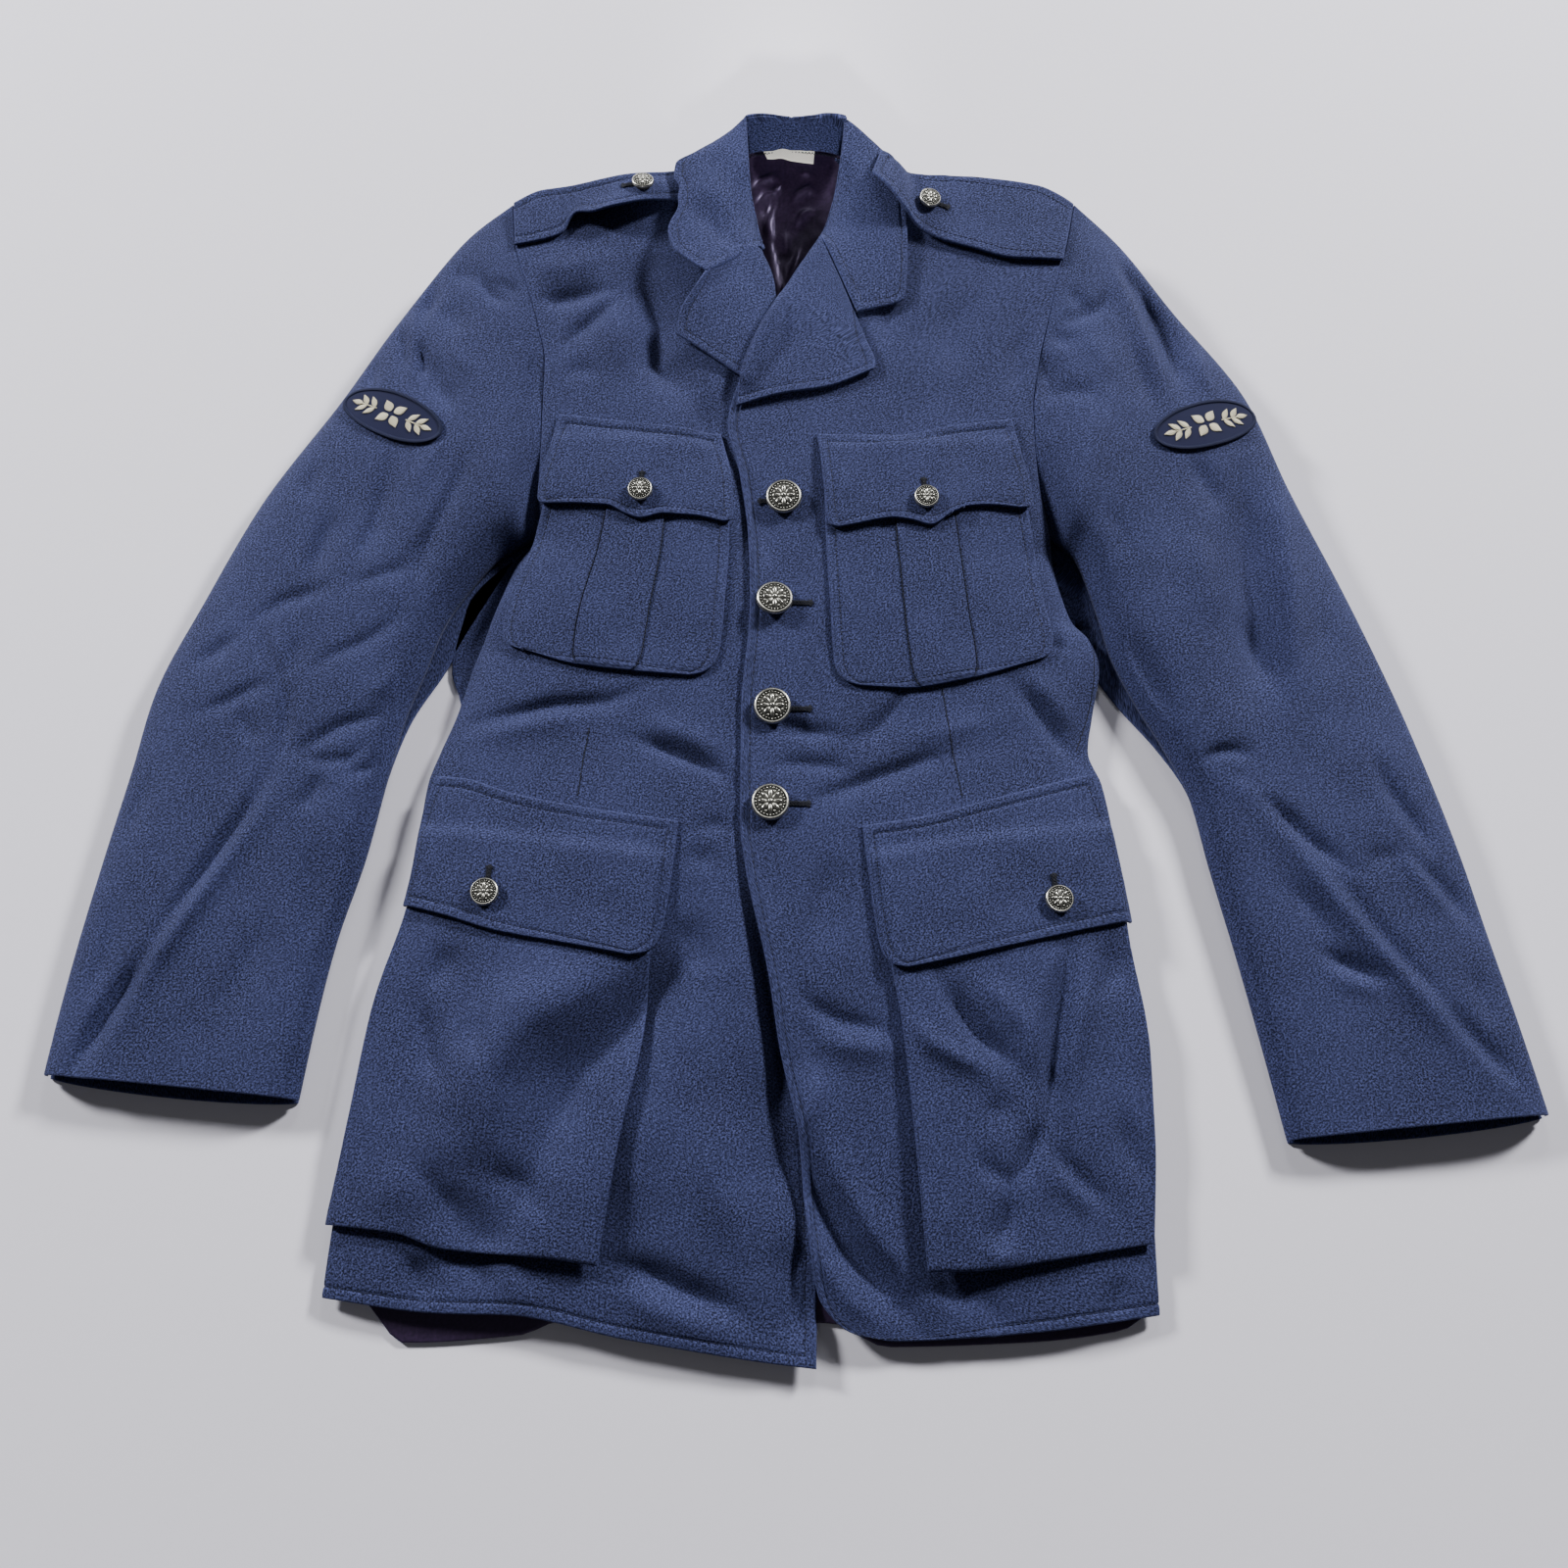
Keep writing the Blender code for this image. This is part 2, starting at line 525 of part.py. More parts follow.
def both_ways(cloth):
    """The sheet's faces as triangles, cut along one diagonal and along the other."""
    faces = np.array([[vert.index for vert in face.verts] for face in cloth.faces])
    return [np.concatenate([faces[:, list(one)], faces[:, list(other)]])
            for one, other in (((0, 1, 2), (0, 2, 3)), ((0, 1, 3), (1, 2, 3)))]


def probe_faces(triangles, places, top):
    """Points inside each triangle, with the height that each has to clear."""
    steps = range(PROBES + 1)
    shares = np.array([(a, b, PROBES - a - b) for a in steps for b in steps if a + b <= PROBES]) / PROBES
    corners, weights, floors = [], [], []
    for triangle in triangles:
        for share, (x, y) in zip(shares, shares @ places[triangle, :2]):
            under = top(x, y)
            if under is not None:
                corners.append(triangle)
                weights.append(share)
                floors.append(under + GAP)
    return corners, weights, floors


def probe_edges(triangles, places, below):
    """Points along the edges of what lies below, with the triangle of the sheet over each."""
    flat = [(x * MM, y * MM, 0.0) for x, y, _ in places]
    tree = BVHTree.FromPolygons(flat, triangles.tolist())
    low, high = places[:, :2].min(axis=0), places[:, :2].max(axis=0)
    corners, weights, floors = [], [], []
    for x, y, z in edge_points(below, low, high):
        face = tree.ray_cast(Vector((x * MM, y * MM, 1.0)), Vector((0, 0, -1)))[2]
        if face is None:
            continue
        one, two, three = places[triangles[face], :2]
        across, up = two - one, three - one
        area = across[0] * up[1] - across[1] * up[0]
        if abs(area) < 1e-6:
            continue
        b = ((x - one[0]) * up[1] - (y - one[1]) * up[0]) / area
        c = (across[0] * (y - one[1]) - across[1] * (x - one[0])) / area
        corners.append(triangles[face])
        weights.append((1 - b - c, b, c))
        floors.append(z + GAP)
    return corners, weights, floors


def edge_points(below, low, high):
    """Places every few millimetres along the edges of the pieces below, within two corners."""
    graph = bpy.context.evaluated_depsgraph_get()
    for piece in below:
        mesh = piece.evaluated_get(graph).to_mesh()
        points = np.array([vert.co for vert in mesh.vertices]) / MM
        for edge in mesh.edges:
            start, end = points[edge.vertices[0]], points[edge.vertices[1]]
            if (np.maximum(start, end)[:2] < low).any() or (np.minimum(start, end)[:2] > high).any():
                continue
            count = max(2, int(np.linalg.norm(end - start) / PROBE_STEP) + 1)
            yield from (start + (end - start) * share for share in np.linspace(0, 1, count))


def tops(below):
    """The highest point over a place, as a function of x and y: None where nothing lies under it."""
    graph = bpy.context.evaluated_depsgraph_get()
    trees = [BVHTree.FromObject(piece, graph) for piece in below]

    def top(x, y):
        """Looks straight down on the pieces."""
        found = [tree.ray_cast(Vector((x * MM, y * MM, HIGH * MM)), Vector((0, 0, -1)))[0] for tree in trees]
        heights = [hit.z / MM for hit in found if hit is not None]
        return max(heights) if heights else None

    return top


def heights_unknown(places):
    """Places in x and y that take their height from what is under them."""
    return np.column_stack([places, np.full(len(places), np.nan)])


def front_places(edge, hem, shoulder, seam, side, shift):
    """A front between its side seam and armhole, front edge, hem and shoulder."""

    def place(u, v):
        v = hem_rows(v)
        foot, head = np.full(len(u), -375.0), np.full(len(u), 350.0)
        for _ in range(5):
            foot_x = side_to_edge(foot, u, edge, seam, side)
            head_x = side_to_edge(head, u, edge, seam, side)
            foot, head = edge_y(hem, foot_x), edge_y(shoulder, head_x)
        y = foot + (head - foot) * v
        x = side_to_edge(y, u, edge, seam, side)
        z = body_height(x, y) - CLOTH - shift(x, y)
        return np.column_stack([x, y, z])

    return place


def side_to_edge(y, u, edge, seam, side):
    """The x at a share of the way from the side seam or armhole to the front edge."""
    inner = across_y(BODY, seam, y) - side * SEAM
    return inner + (across_y(edge, "x", y) - inner) * u


def placket_drop(x, y):
    """How far the right front goes down where the left one laps over it."""
    return PLACKET_DROP * smooth_step((x - across_y(LEFT_FRONT_EDGE, "x", y) + 12) / 10)


def no_drop(x, y):
    """The left front isn't lapped by the other."""
    return np.zeros_like(x)


def hem_rows(v):
    """Gathers the first rows of a front near its hem."""
    return np.where(v < 0.12, v * 0.45, 0.054 + (v - 0.12) * 0.946 / 0.88)


def side_body_places(edge, seam, hem, shoulder, side):
    """The side body, from the folded edge of the jacket to the side seam, on the front's own rows."""

    def place(u, v):
        foot = edge_y(hem, across_y(BODY, seam, np.full(len(u), -365.0)))
        head = edge_y(shoulder, across_y(BODY, seam, np.full(len(u), SHOULDER_Y)))
        y = foot + (head - foot) * hem_rows(v * SIDE_ROWS / FRONT_ROWS)
        outer, inner = across_y(BODY, edge, y), across_y(BODY, seam, y) + side * SEAM
        x = outer + (inner - outer) * u**1.4
        return np.column_stack([x, y, body_height(x, y) - CLOTH])

    return place


def back_places(u, v):
    """The back, flat on the surface and turned up at the shoulders and neck."""
    x = np.zeros_like(u)
    y = np.zeros_like(u)
    v = np.interp(v, *BACK_ROWS)
    for _ in range(6):
        right = across_y(BODY, "right", y) + BACK_INSET - across_y(UNDERARMS, "right", y)
        left = across_y(BODY, "left", y) - BACK_INSET + across_y(UNDERARMS, "left", y)
        x = right + (left - right) * u
        foot = edge_y(BACK_HEM, x)
        head = edge_y(BACK_TOP, x)
        y = foot + (head - foot) * v
    share = smooth_step((y - head + BACK_TURN) / BACK_TURN)
    return np.column_stack([x, y, follow(column(BACK_TOP, "x"), column(BACK_TOP, "z"), x) * share**1.3])


def armhole_y(share):
    """The y of the armhole seam, at a share of the way from the shoulder to the underarm."""
    return SHOULDER_Y + (UNDERARM_Y - SHOULDER_Y) * share


def armhole(share, side):
    """Places on the armhole seam in x and y, with no height yet."""
    y = armhole_y(share)
    x = across_y(BODY, "right" if side < 0 else "left", y) + side * ARMHOLE_SEAM
    return np.column_stack([x, y, np.zeros(len(y))])


def sleeve_rows(cuffs, share, side, height):
    """The sections of a sleeve at shares of the way across, from the armhole to the cuff."""
    first = armhole(share, side)
    first[:, 2] = height(None, share)
    rows = [first]
    for cuff in cuffs:
        x = cuff.out_x + (cuff.in_x - cuff.out_x) * share
        y = cuff.out_y + (cuff.in_y - cuff.out_y) * share
        rows.append(np.column_stack([x, y, height(cuff, share)]))
    if height is under_height:
        rows[-1][:, 1] -= CUFF_REACH * np.sin(math.pi * share) ** 0.5
    return np.array(rows)


def over_height(cuff, share):
    """The height of the topsleeve across a section; the armhole's is that of the body's edge."""
    if cuff is None:
        return across_y(BODY, "edge", armhole_y(share))
    edge = cuff.out_z + (cuff.in_z - cuff.out_z) * share
    return edge + (cuff.crown - edge) * flat_top(2 * share - 1)


def under_height(cuff, share):
    """The undersleeve lies flat, and turns up at the shoulder to meet the topsleeve."""
    edge = SHOULDER_TURN if cuff is None else max(cuff.out_z - CUFF_EDGE, 0.0)
    return edge * np.clip(1 - share / 0.3, 0, 1) ** 2


def between_rows(rows, at):
    """A smooth curve through rows of places, at a row number for each column."""
    last = len(rows) - 1
    i = np.clip(np.floor(at).astype(int), 0, last - 1)
    t = (at - i)[:, None]
    here = np.arange(rows.shape[1])
    before, start = rows[np.maximum(i - 1, 0), here], rows[i, here]
    end, after = rows[i + 1, here], rows[np.minimum(i + 2, last), here]
    first, second = (end - before) / 2, (after - start) / 2
    return (
        start * (2 * t**3 - 3 * t**2 + 1) + end * (3 * t**2 - 2 * t**3)
        + first * (t**3 - 2 * t**2 + t) + second * (t**3 - t**2)
    )


def sleeve_places(cuffs, side, height, inset, drop):
    """One layer of a sleeve, from its outer edge to its inner one and from the armhole to the cuff."""

    def place(u, v):
        share = 0.5 * u + 0.25 * (1 - np.cos(math.pi * u))
        share = inset + share * (1 - 2 * inset)
        rows = sleeve_rows(cuffs, share, side, height)
        places = between_rows(rows, v * (len(rows) - 1))
        if height is over_height:
            fade = smooth_step(np.minimum(share, 1 - share) / 0.1)
            places[:, 2] += folds_at(SLEEVE_FOLDS, places[:, 0], places[:, 1]) * fade
        places[:, 2] = np.maximum(places[:, 2] - drop, 0.0)
        return places

    return place


def lining_places(u, v):
    """The lining of the back, where the open neck shows it."""
    y = NECK_LINING[0].y + (NECK_LINING[-1].y - NECK_LINING[0].y) * v
    right, left = across_y(NECK_LINING, "right", y), across_y(NECK_LINING, "left", y)
    return np.column_stack([right + (left - right) * u, y, across_y(NECK_LINING, "z", y)])


def collar_edge(rows, names, share):
    """Places on one of the collar's lines, by the share of the way from the back to the notch."""
    keys = np.linspace(0, 1, len(rows))
    return np.column_stack([follow(keys, column(rows, name), share) for name in names])


def fall_places(rows):
    """One half of the turned-down collar, from the roll line out."""

    def place(u, v):
        roll = collar_edge(rows, ("x", "y", "z"), u)
        out = collar_edge(rows, ("out_x", "out_y", "out_z"), u)
        share = v[:, None]
        bow = np.sin(math.pi * v) * 3.0
        places = roll + (out - roll) * share
        places[:, 2] += bow + 0.6
        return places

    return place


def stand_places(u, v):
    """The collar's stand round the back of the neck, from its foot to the roll line."""
    half = np.abs(2 * u - 1)
    places = np.zeros((len(u), 3))
    for rows, mine in ((RIGHT_COLLAR, u < 0.5), (LEFT_COLLAR, u >= 0.5)):
        foot = collar_edge(rows, ("foot_x", "foot_y", "foot_z"), half)
        roll = collar_edge(rows, ("x", "y", "z"), half)
        made = foot + (roll - foot) * STAND_SHARE * v[:, None]
        places[mine] = made[mine]
    return places


def patch_on(patch):
    """A patch that takes its height from what it lies on."""
    return lambda u, v: heights_unknown(patch_places(patch, u, v))


def pleated(patch):
    """A pocket with its columns gathered at the two edges of the box pleat."""
    return lambda u, v: heights_unknown(patch_places(patch, pleat_columns(u), v))


def pleat_columns(u):
    """Moves the columns next to each pleat edge close to it."""
    marks = [0.0, 0.17, PLEAT[0], PLEAT[0] + 0.02, 0.5, PLEAT[1] - 0.02, PLEAT[1], 0.83, 1.0]
    return np.interp(u, np.linspace(0, 1, len(marks)), marks)


def pleat_lift(u, v):
    """The box pleat stands proud of the pocket."""
    u = pleat_columns(u)
    inside = (u > PLEAT[0] + 0.01) & (u < PLEAT[1] - 0.01)
    return np.where(inside, PLEAT_RISE, 0.0)


def bellows_shares(u, v, free_end):
    """Gathers the grid at the free edges, where the bellows drop to the skirt."""
    run = np.array([0.0, 0.03, 0.16, 0.32, 0.5, 0.68, 0.84, 1.0])
    even = np.linspace(0, 1, len(run))
    across = np.interp(u, even, run) if free_end == 0 else 1 - np.interp(1 - u, even, run)
    return across, np.interp(v, even, run)


def bellows_on(patch, free_end):
    """A lower pocket whose bottom and front edges stand off the skirt."""

    def place(u, v):
        across, up = bellows_shares(u, v, free_end)
        return heights_unknown(patch_places(patch, across, up))

    return place


def bellows_lift(free_end):
    """How far the pocket's face stands off: nothing at the rim, most just inside it."""

    def lift(u, v):
        across, up = bellows_shares(u, v, free_end)
        from_front = across if free_end == 0 else 1 - across
        inside = (from_front > 0.01) & (up > 0.01)
        fade = (1 - 0.75 * smooth_step(up / 0.9)) * (1 - 0.6 * smooth_step(from_front / 0.9))
        return np.where(inside, BELLOWS * fade, 0.0)

    return lift


def lifted_edge(height, power=2.0):
    """A leaf whose outer edge, at the start of its width, stands off what it lies on."""
    return lambda u, v: height * (1 - u) ** power


def lifted_middle(height, start, end):
    """A strap that bows up between two shares of its length."""
    return lambda u, v: height * np.sin(math.pi * np.clip((u - start) / (end - start), 0, 1)) ** 2


def badge_places(badge):
    """An oval on the sleeve, longer across it."""
    turn = math.radians(badge.turn)

    def place(u, v):
        s, t = 2 * u - 1, 2 * v - 1
        x = s * np.sqrt(1 - t * t / 2) * badge.length / 2
        y = t * np.sqrt(1 - s * s / 2) * badge.width / 2
        turned = np.column_stack([
            badge.x + x * math.cos(turn) - y * math.sin(turn),
            badge.y + x * math.sin(turn) + y * math.cos(turn),
        ])
        return heights_unknown(turned)

    return place


def add_button(jacket, button, on):
    """A turned metal button whose shank stands on the cloth."""
    bpy.context.view_layer.update()
    top = tops(on)
    radius = button.diameter / 2
    rim = []
    for turn in range(RIM_PLACES):
        angle = 2 * math.pi * turn / RIM_PLACES
        x, y = button.x + radius * math.cos(angle), button.y + radius * math.sin(angle)
        rim.append(Vector((x, y, top(x, y))))
    half, quarter = RIM_PLACES // 2, RIM_PLACES // 4
    crosses = [(rim[k] - rim[k - half]).cross(rim[k - quarter] - rim[k - quarter - half])
               for k in range(RIM_PLACES)]
    normal = sum(crosses, Vector()).normalized()
    normal = normal if normal.z > 0 else -normal
    middle = Vector((button.x, button.y, top(button.x, button.y)))
    shank = SHANK_SHARE * button.height
    reach = [((point - middle).dot(normal) - shank) for point in rim]
    foot = middle + normal * (GAP + max(0.0, *reach))

    builder = bmesh.new()
    verts = [builder.verts.new((turn.radius * radius * MM, 0, turn.height * button.height * MM))
             for turn in BUTTON_PROFILE]
    for upper, lower in zip(verts, verts[1:]):
        builder.edges.new((upper, lower))
    mesh = bpy.data.meshes.new(button.name)
    builder.to_mesh(mesh)
    builder.free()
    piece = jacket.add(button.name, mesh, jacket.pewter)
    spin = piece.modifiers.new("Turned", "SCREW")
    spin.steps = spin.render_steps = BUTTON_STEPS
    spin.use_merge_vertices = True
    spin.merge_threshold = 0.0001
    spin.use_smooth_shade = True
    piece.location = foot * MM
    piece.rotation_mode = "QUATERNION"
    piece.rotation_quaternion = Vector((0, 0, 1)).rotation_difference(normal)
    return piece


def build():
    """Makes every piece in the order that a maker would lay them."""
    clear_scene()
    jacket = Jacket()
    cloth = jacket.cloth

    back = cloth("back", 16, 26, back_places)
    lining = cloth("neck_lining", 6, 8, lining_places, LINING, [back], jacket.satin)
    cloth("neck_label", 3, 1, patch_on(LABEL), RIBBON, [lining], jacket.cream)

    sleeves = {}
    for name, cuffs, side in (("right", RIGHT_SLEEVE, -1), ("left", LEFT_SLEEVE, 1)):
        under = cloth("undersleeve_" + name, 9, 11, sleeve_places(cuffs, side, under_height, 0.012, 0.0))
        over = sleeve_places(cuffs, side, over_height, 0.0, CLOTH)
        sleeves[name] = cloth("topsleeve_" + name, 11, 20, over, on=[under])

    side_right = cloth("side_body_right", 3, SIDE_ROWS, on=[back],
                       place=side_body_places("right", "right_seam", RIGHT_HEM, RIGHT_SHOULDER, -1))
    side_left = cloth("side_body_left", 3, SIDE_ROWS, on=[back],
                      place=side_body_places("left", "left_seam", LEFT_HEM, LEFT_SHOULDER, 1))
    right = front_places(RIGHT_FRONT_EDGE, RIGHT_HEM, RIGHT_SHOULDER, "right_seam", -1, placket_drop)
    left = front_places(LEFT_FRONT_EDGE, LEFT_HEM, LEFT_SHOULDER, "left_seam", 1, no_drop)
    front_right = cloth("front_right", 12, FRONT_ROWS, right, on=[back, lining])
    lapel_right = cloth("lapel_right", 7, 7, patch_on(RIGHT_LAPEL), on=[front_right], lift=lifted_edge(7.0))
    front_left = cloth("front_left", 12, FRONT_ROWS, left, on=[back, lining, front_right, lapel_right])
    cloth("lapel_left", 7, 8, patch_on(LEFT_LAPEL), on=[front_left, lapel_right])

    cloth("collar_stand", 24, 3, stand_places, out=True)
    strap_right = cloth("shoulder_strap_right", 11, 4, patch_on(RIGHT_STRAP),
                        on=[front_right, sleeves["right"]], lift=lifted_middle(7.0, 0.3, 1.0))
    cloth("collar_fall_right", 12, 5, fall_places(RIGHT_COLLAR), on=[front_right, strap_right, lapel_right])
    fall_left = cloth("collar_fall_left", 12, 5, fall_places(LEFT_COLLAR), on=[front_left])
    strap_left = cloth("shoulder_strap_left", 12, 4, patch_on(LEFT_STRAP),
                       on=[front_left, fall_left, sleeves["left"]])

    pocket_right = cloth("chest_pocket_right", 8, 8, pleated(RIGHT_CHEST_POCKET),
                         on=[front_right, side_right], lift=pleat_lift)
    pocket_left = cloth("chest_pocket_left", 8, 8, pleated(LEFT_CHEST_POCKET),
                        on=[front_left, side_left], lift=pleat_lift)
    flap_right = cloth("chest_flap_right", 10, 4, patch_on(RIGHT_CHEST_FLAP),
                       on=[front_right, pocket_right])
    flap_left = cloth("chest_flap_left", 10, 4, patch_on(LEFT_CHEST_FLAP),
                      on=[front_left, pocket_left])

    bellows_right = cloth("lower_pocket_right", 7, 7, bellows_on(RIGHT_LOWER_POCKET, 1),
                          on=[front_right, side_right], lift=bellows_lift(1))
    bellows_left = cloth("lower_pocket_left", 7, 7, bellows_on(LEFT_LOWER_POCKET, 0),
                         on=[front_left, side_left], lift=bellows_lift(0))
    low_flap_right = cloth("lower_flap_right", 9, 5, patch_on(RIGHT_LOWER_FLAP),
                           on=[front_right, side_right, bellows_right])
    low_flap_left = cloth("lower_flap_left", 9, 5, patch_on(LEFT_LOWER_FLAP),
                          on=[front_left, side_left, bellows_left])

    for badge in BADGES:
        sleeve = sleeves["right" if badge.x < 0 else "left"]
        cloth(badge.name, 8, 4, badge_places(badge), EMBROIDERY, [sleeve], jacket.navy)

    carriers = [front_left, flap_right, flap_left, low_flap_right, low_flap_left, strap_right, strap_left]
    for button in BUTTONS:
        add_button(jacket, button, carriers)


build()
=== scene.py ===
"""The dress uniform jacket as it looks: cloth, stitching, buttons and lining on the built solids.

Tables are in millimetres in the frame of the solids: +X to the wearer's left, +Y to the collar,
+Z up from the surface that the jacket lies on. Meshes are in metres.
"""

import logging
import math
from collections import namedtuple
from collections.abc import Callable
from dataclasses import dataclass, field
from enum import Enum
from functools import partial

import bmesh
import bpy
import numpy as np
from bpy.types import Light, Material, Node, NodeSocket, NodeTree, Object
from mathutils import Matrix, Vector
from numpy import ndarray as Array


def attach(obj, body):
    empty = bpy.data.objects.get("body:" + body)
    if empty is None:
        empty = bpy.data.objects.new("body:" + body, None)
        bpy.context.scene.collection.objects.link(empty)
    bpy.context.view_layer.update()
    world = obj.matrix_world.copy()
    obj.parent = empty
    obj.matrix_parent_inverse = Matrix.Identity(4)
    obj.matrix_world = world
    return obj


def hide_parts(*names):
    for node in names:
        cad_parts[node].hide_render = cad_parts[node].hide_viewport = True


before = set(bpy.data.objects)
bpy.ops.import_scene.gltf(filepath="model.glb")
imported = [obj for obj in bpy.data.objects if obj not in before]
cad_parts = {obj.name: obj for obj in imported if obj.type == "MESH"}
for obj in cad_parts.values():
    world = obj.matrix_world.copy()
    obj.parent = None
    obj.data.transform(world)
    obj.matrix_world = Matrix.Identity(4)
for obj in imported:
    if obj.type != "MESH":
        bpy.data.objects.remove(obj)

LOG = logging.getLogger("jacket")
MM = 0.001
BODY_NAME = "root"

# Cloth: its walls, and the gap under a patch
WOOL_WALL = 1.7
LINING_WALL = 0.8
GAP = 0.35

# The grid's spacing on cloth that shows and on cloth underneath, and its places near stitched and plain edges
STEP = 2.5
COARSE = 7.0
STITCHED_STEPS = (0.0, 0.3, 0.8, 1.6, 3.0, 4.6, 5.4, 6.0, 6.6, 7.4, 9.0)
PLAIN_STEPS = (0.0, 0.35, 0.9, 1.8)

# Topstitching: its distance from the edge, its groove, and the puff of the cloth further in
STITCH_INSET = 6.0
STITCH_GROOVE, GROOVE_WIDTH = 0.65, 0.7
PUFF, PUFF_INSET, PUFF_WIDTH = 0.12, 3.2, 2.0

# The distance from an edge past which the cloth doesn't know of it, and the ends of the armholes
FAR_IN = 30.0
UNDERARM_Y = 97.0
SHOULDER_Y = 338.0

# The tables that the solids are cut from
Section = namedtuple("Section", "y right left edge crown")
BODY = (
    Section(-395, -255, 196, 4.6, 9),
    Section(-330, -252, 197, 4.6, 13),
    Section(-264, -247, 202, 4.6, 16),
    Section(-224, -242, 203, 4.6, 17),
    Section(-187, -237, 198, 4.6, 18),
    Section(-145, -226, 195, 4.6, 19),
    Section(-106, -223, 192, 4.6, 20),
    Section(-68, -220, 187, 4.6, 20),
    Section(-47, -214, 180, 4.6, 20),
    Section(-24, -206, 184, 4.6, 21),
    Section(12, -197, 191, 4.6, 23),
    Section(28, -192, 186, 4.6, 24),
    Section(40, -189, 176, 4.6, 25),
    Section(56, -184, 171, 4.6, 26),
    Section(80, -175, 166, 4.8, 27),
    Section(97, -163, 164, 12, 28),
    Section(129, -162, 158, 22, 30),
    Section(158, -161, 156, 27, 31),
    Section(180, -161, 156, 29, 32),
    Section(214, -161, 161, 32, 34),
    Section(248, -168, 169, 35, 36),
    Section(281, -178, 177, 38, 38),
    Section(301, -184, 183, 39, 40),
    Section(338, -188, 191, 36, 43),
)
Cuff = namedtuple("Cuff", "out_x out_y out_z in_x in_y in_z crown")
RIGHT_SLEEVE = (
    Cuff(-222, 314, 25, -171, 93, 8, 36),
    Cuff(-264, 254, 14, -187, 83, 5.5, 33),
    Cuff(-298, 197, 6, -205.7, 59, 4.4, 29),
    Cuff(-340, 125, 4.4, -218.3, 36, 4.4, 27),
    Cuff(-371, 49, 4.4, -227, 7, 4.4, 25),
    Cuff(-391, -6, 4.4, -237, -26, 4.4, 24),
    Cuff(-399, -60, 4.4, -245, -68, 4.4, 22),
    Cuff(-407, -112, 4.4, -253, -115, 4.4, 21),
    Cuff(-414, -162, 4.4, -264, -160, 4.4, 20),
    Cuff(-419, -207, 4.4, -271, -203, 4.4, 19),
    Cuff(-422, -241, 4.4, -277, -255, 4.4, 18),
)
LEFT_SLEEVE = (
    Cuff(223, 309, 26, 172, 91, 8, 36),
    Cuff(257, 262, 15, 182, 80, 5.5, 33),
    Cuff(299, 203, 6, 191.2, 48, 4.4, 29),
    Cuff(322, 132, 4.4, 198.3, 16, 4.4, 27),
    Cuff(347, 61, 4.4, 210.5, -14, 4.4, 26),
    Cuff(368, -5, 4.4, 225.5, -44, 4.4, 25),
    Cuff(383, -60, 4.4, 238.5, -75, 4.4, 23),
    Cuff(395, -112, 4.4, 246.5, -120, 4.4, 22),
    Cuff(404, -162, 4.4, 255.5, -166, 4.4, 21),
    Cuff(413, -210, 4.4, 264.5, -216, 4.4, 20),
    Cuff(422, -263, 4.4, 274.5, -277, 4.4, 18),
)
RIGHT_HEM = ((-255, -359), (-190, -367), (-152, -368), (-90, -380), (-20, -391), (14, -395))
LEFT_HEM = ((16, -370), (34, -378), (52, -381), (125, -377), (197, -368))
BACK_HEM = (
    (-255, -350), (-232, -360), (-208, -382), (-146, -378), (-125, -371), (20, -372),
    (50, -384), (120, -382), (175, -376), (197, -362),
)
UNDERARMS = (
    (-40, 0, 0), (-16, 2, 0), (8, 15, 0), (22, 19, 3), (30, 20.5, 9), (42, 21, 15), (58, 23, 16.5),
    (70, 19, 16), (80, 13.5, 13.5), (93, 5, 5), (104, -0.6, 0),
)
RIGHT_SHOULDER = ((-189, 338), (-168, 347), (-125, 351), (-80, 360), (-46, 366))
LEFT_SHOULDER = ((46, 365), (92, 358), (117, 357), (166, 351), (192, 338))
BACK_TOP = (
    (-189, 336, 30), (-146, 348, 34), (-104, 353, 36), (-80, 358, 36), (-50, 374, 31), (-25, 387, 26),
    (0, 391, 25), (25, 387, 26), (50, 374, 31), (70, 360, 36), (117, 355, 36), (147, 351, 34),
    (192, 336, 30),
)
RIGHT_FRONT_EDGE = (
    (12, -395), (12, -345), (10, -280), (7, -100), (6, 130), (5, 190), (-1, 230), (-10, 266),
    (-20, 299), (-34, 330), (-46, 368),
)
LEFT_FRONT_EDGE = (
    (46, -381), (33, -378), (22, -371), (13, -358), (9, -335), (4, -281), (-8, -225), (-14, -186),
    (-28, -120), (-31, -93), (-31, -26), (-26, 45), (-27, 82), (-33, 133), (-41, 170), (-33, 204),
    (-5, 266), (17, 300), (34, 330), (48, 367),
)

Fold = namedtuple("Fold", "path width height lean", defaults=(0.35,))


def folds(*rows: tuple) -> tuple:
    """A table of folds, each given by its sizes and then the places along its path."""
    return tuple(Fold([part for part in row if isinstance(part, tuple)],
                      *(part for part in row if not isinstance(part, tuple))) for row in rows)


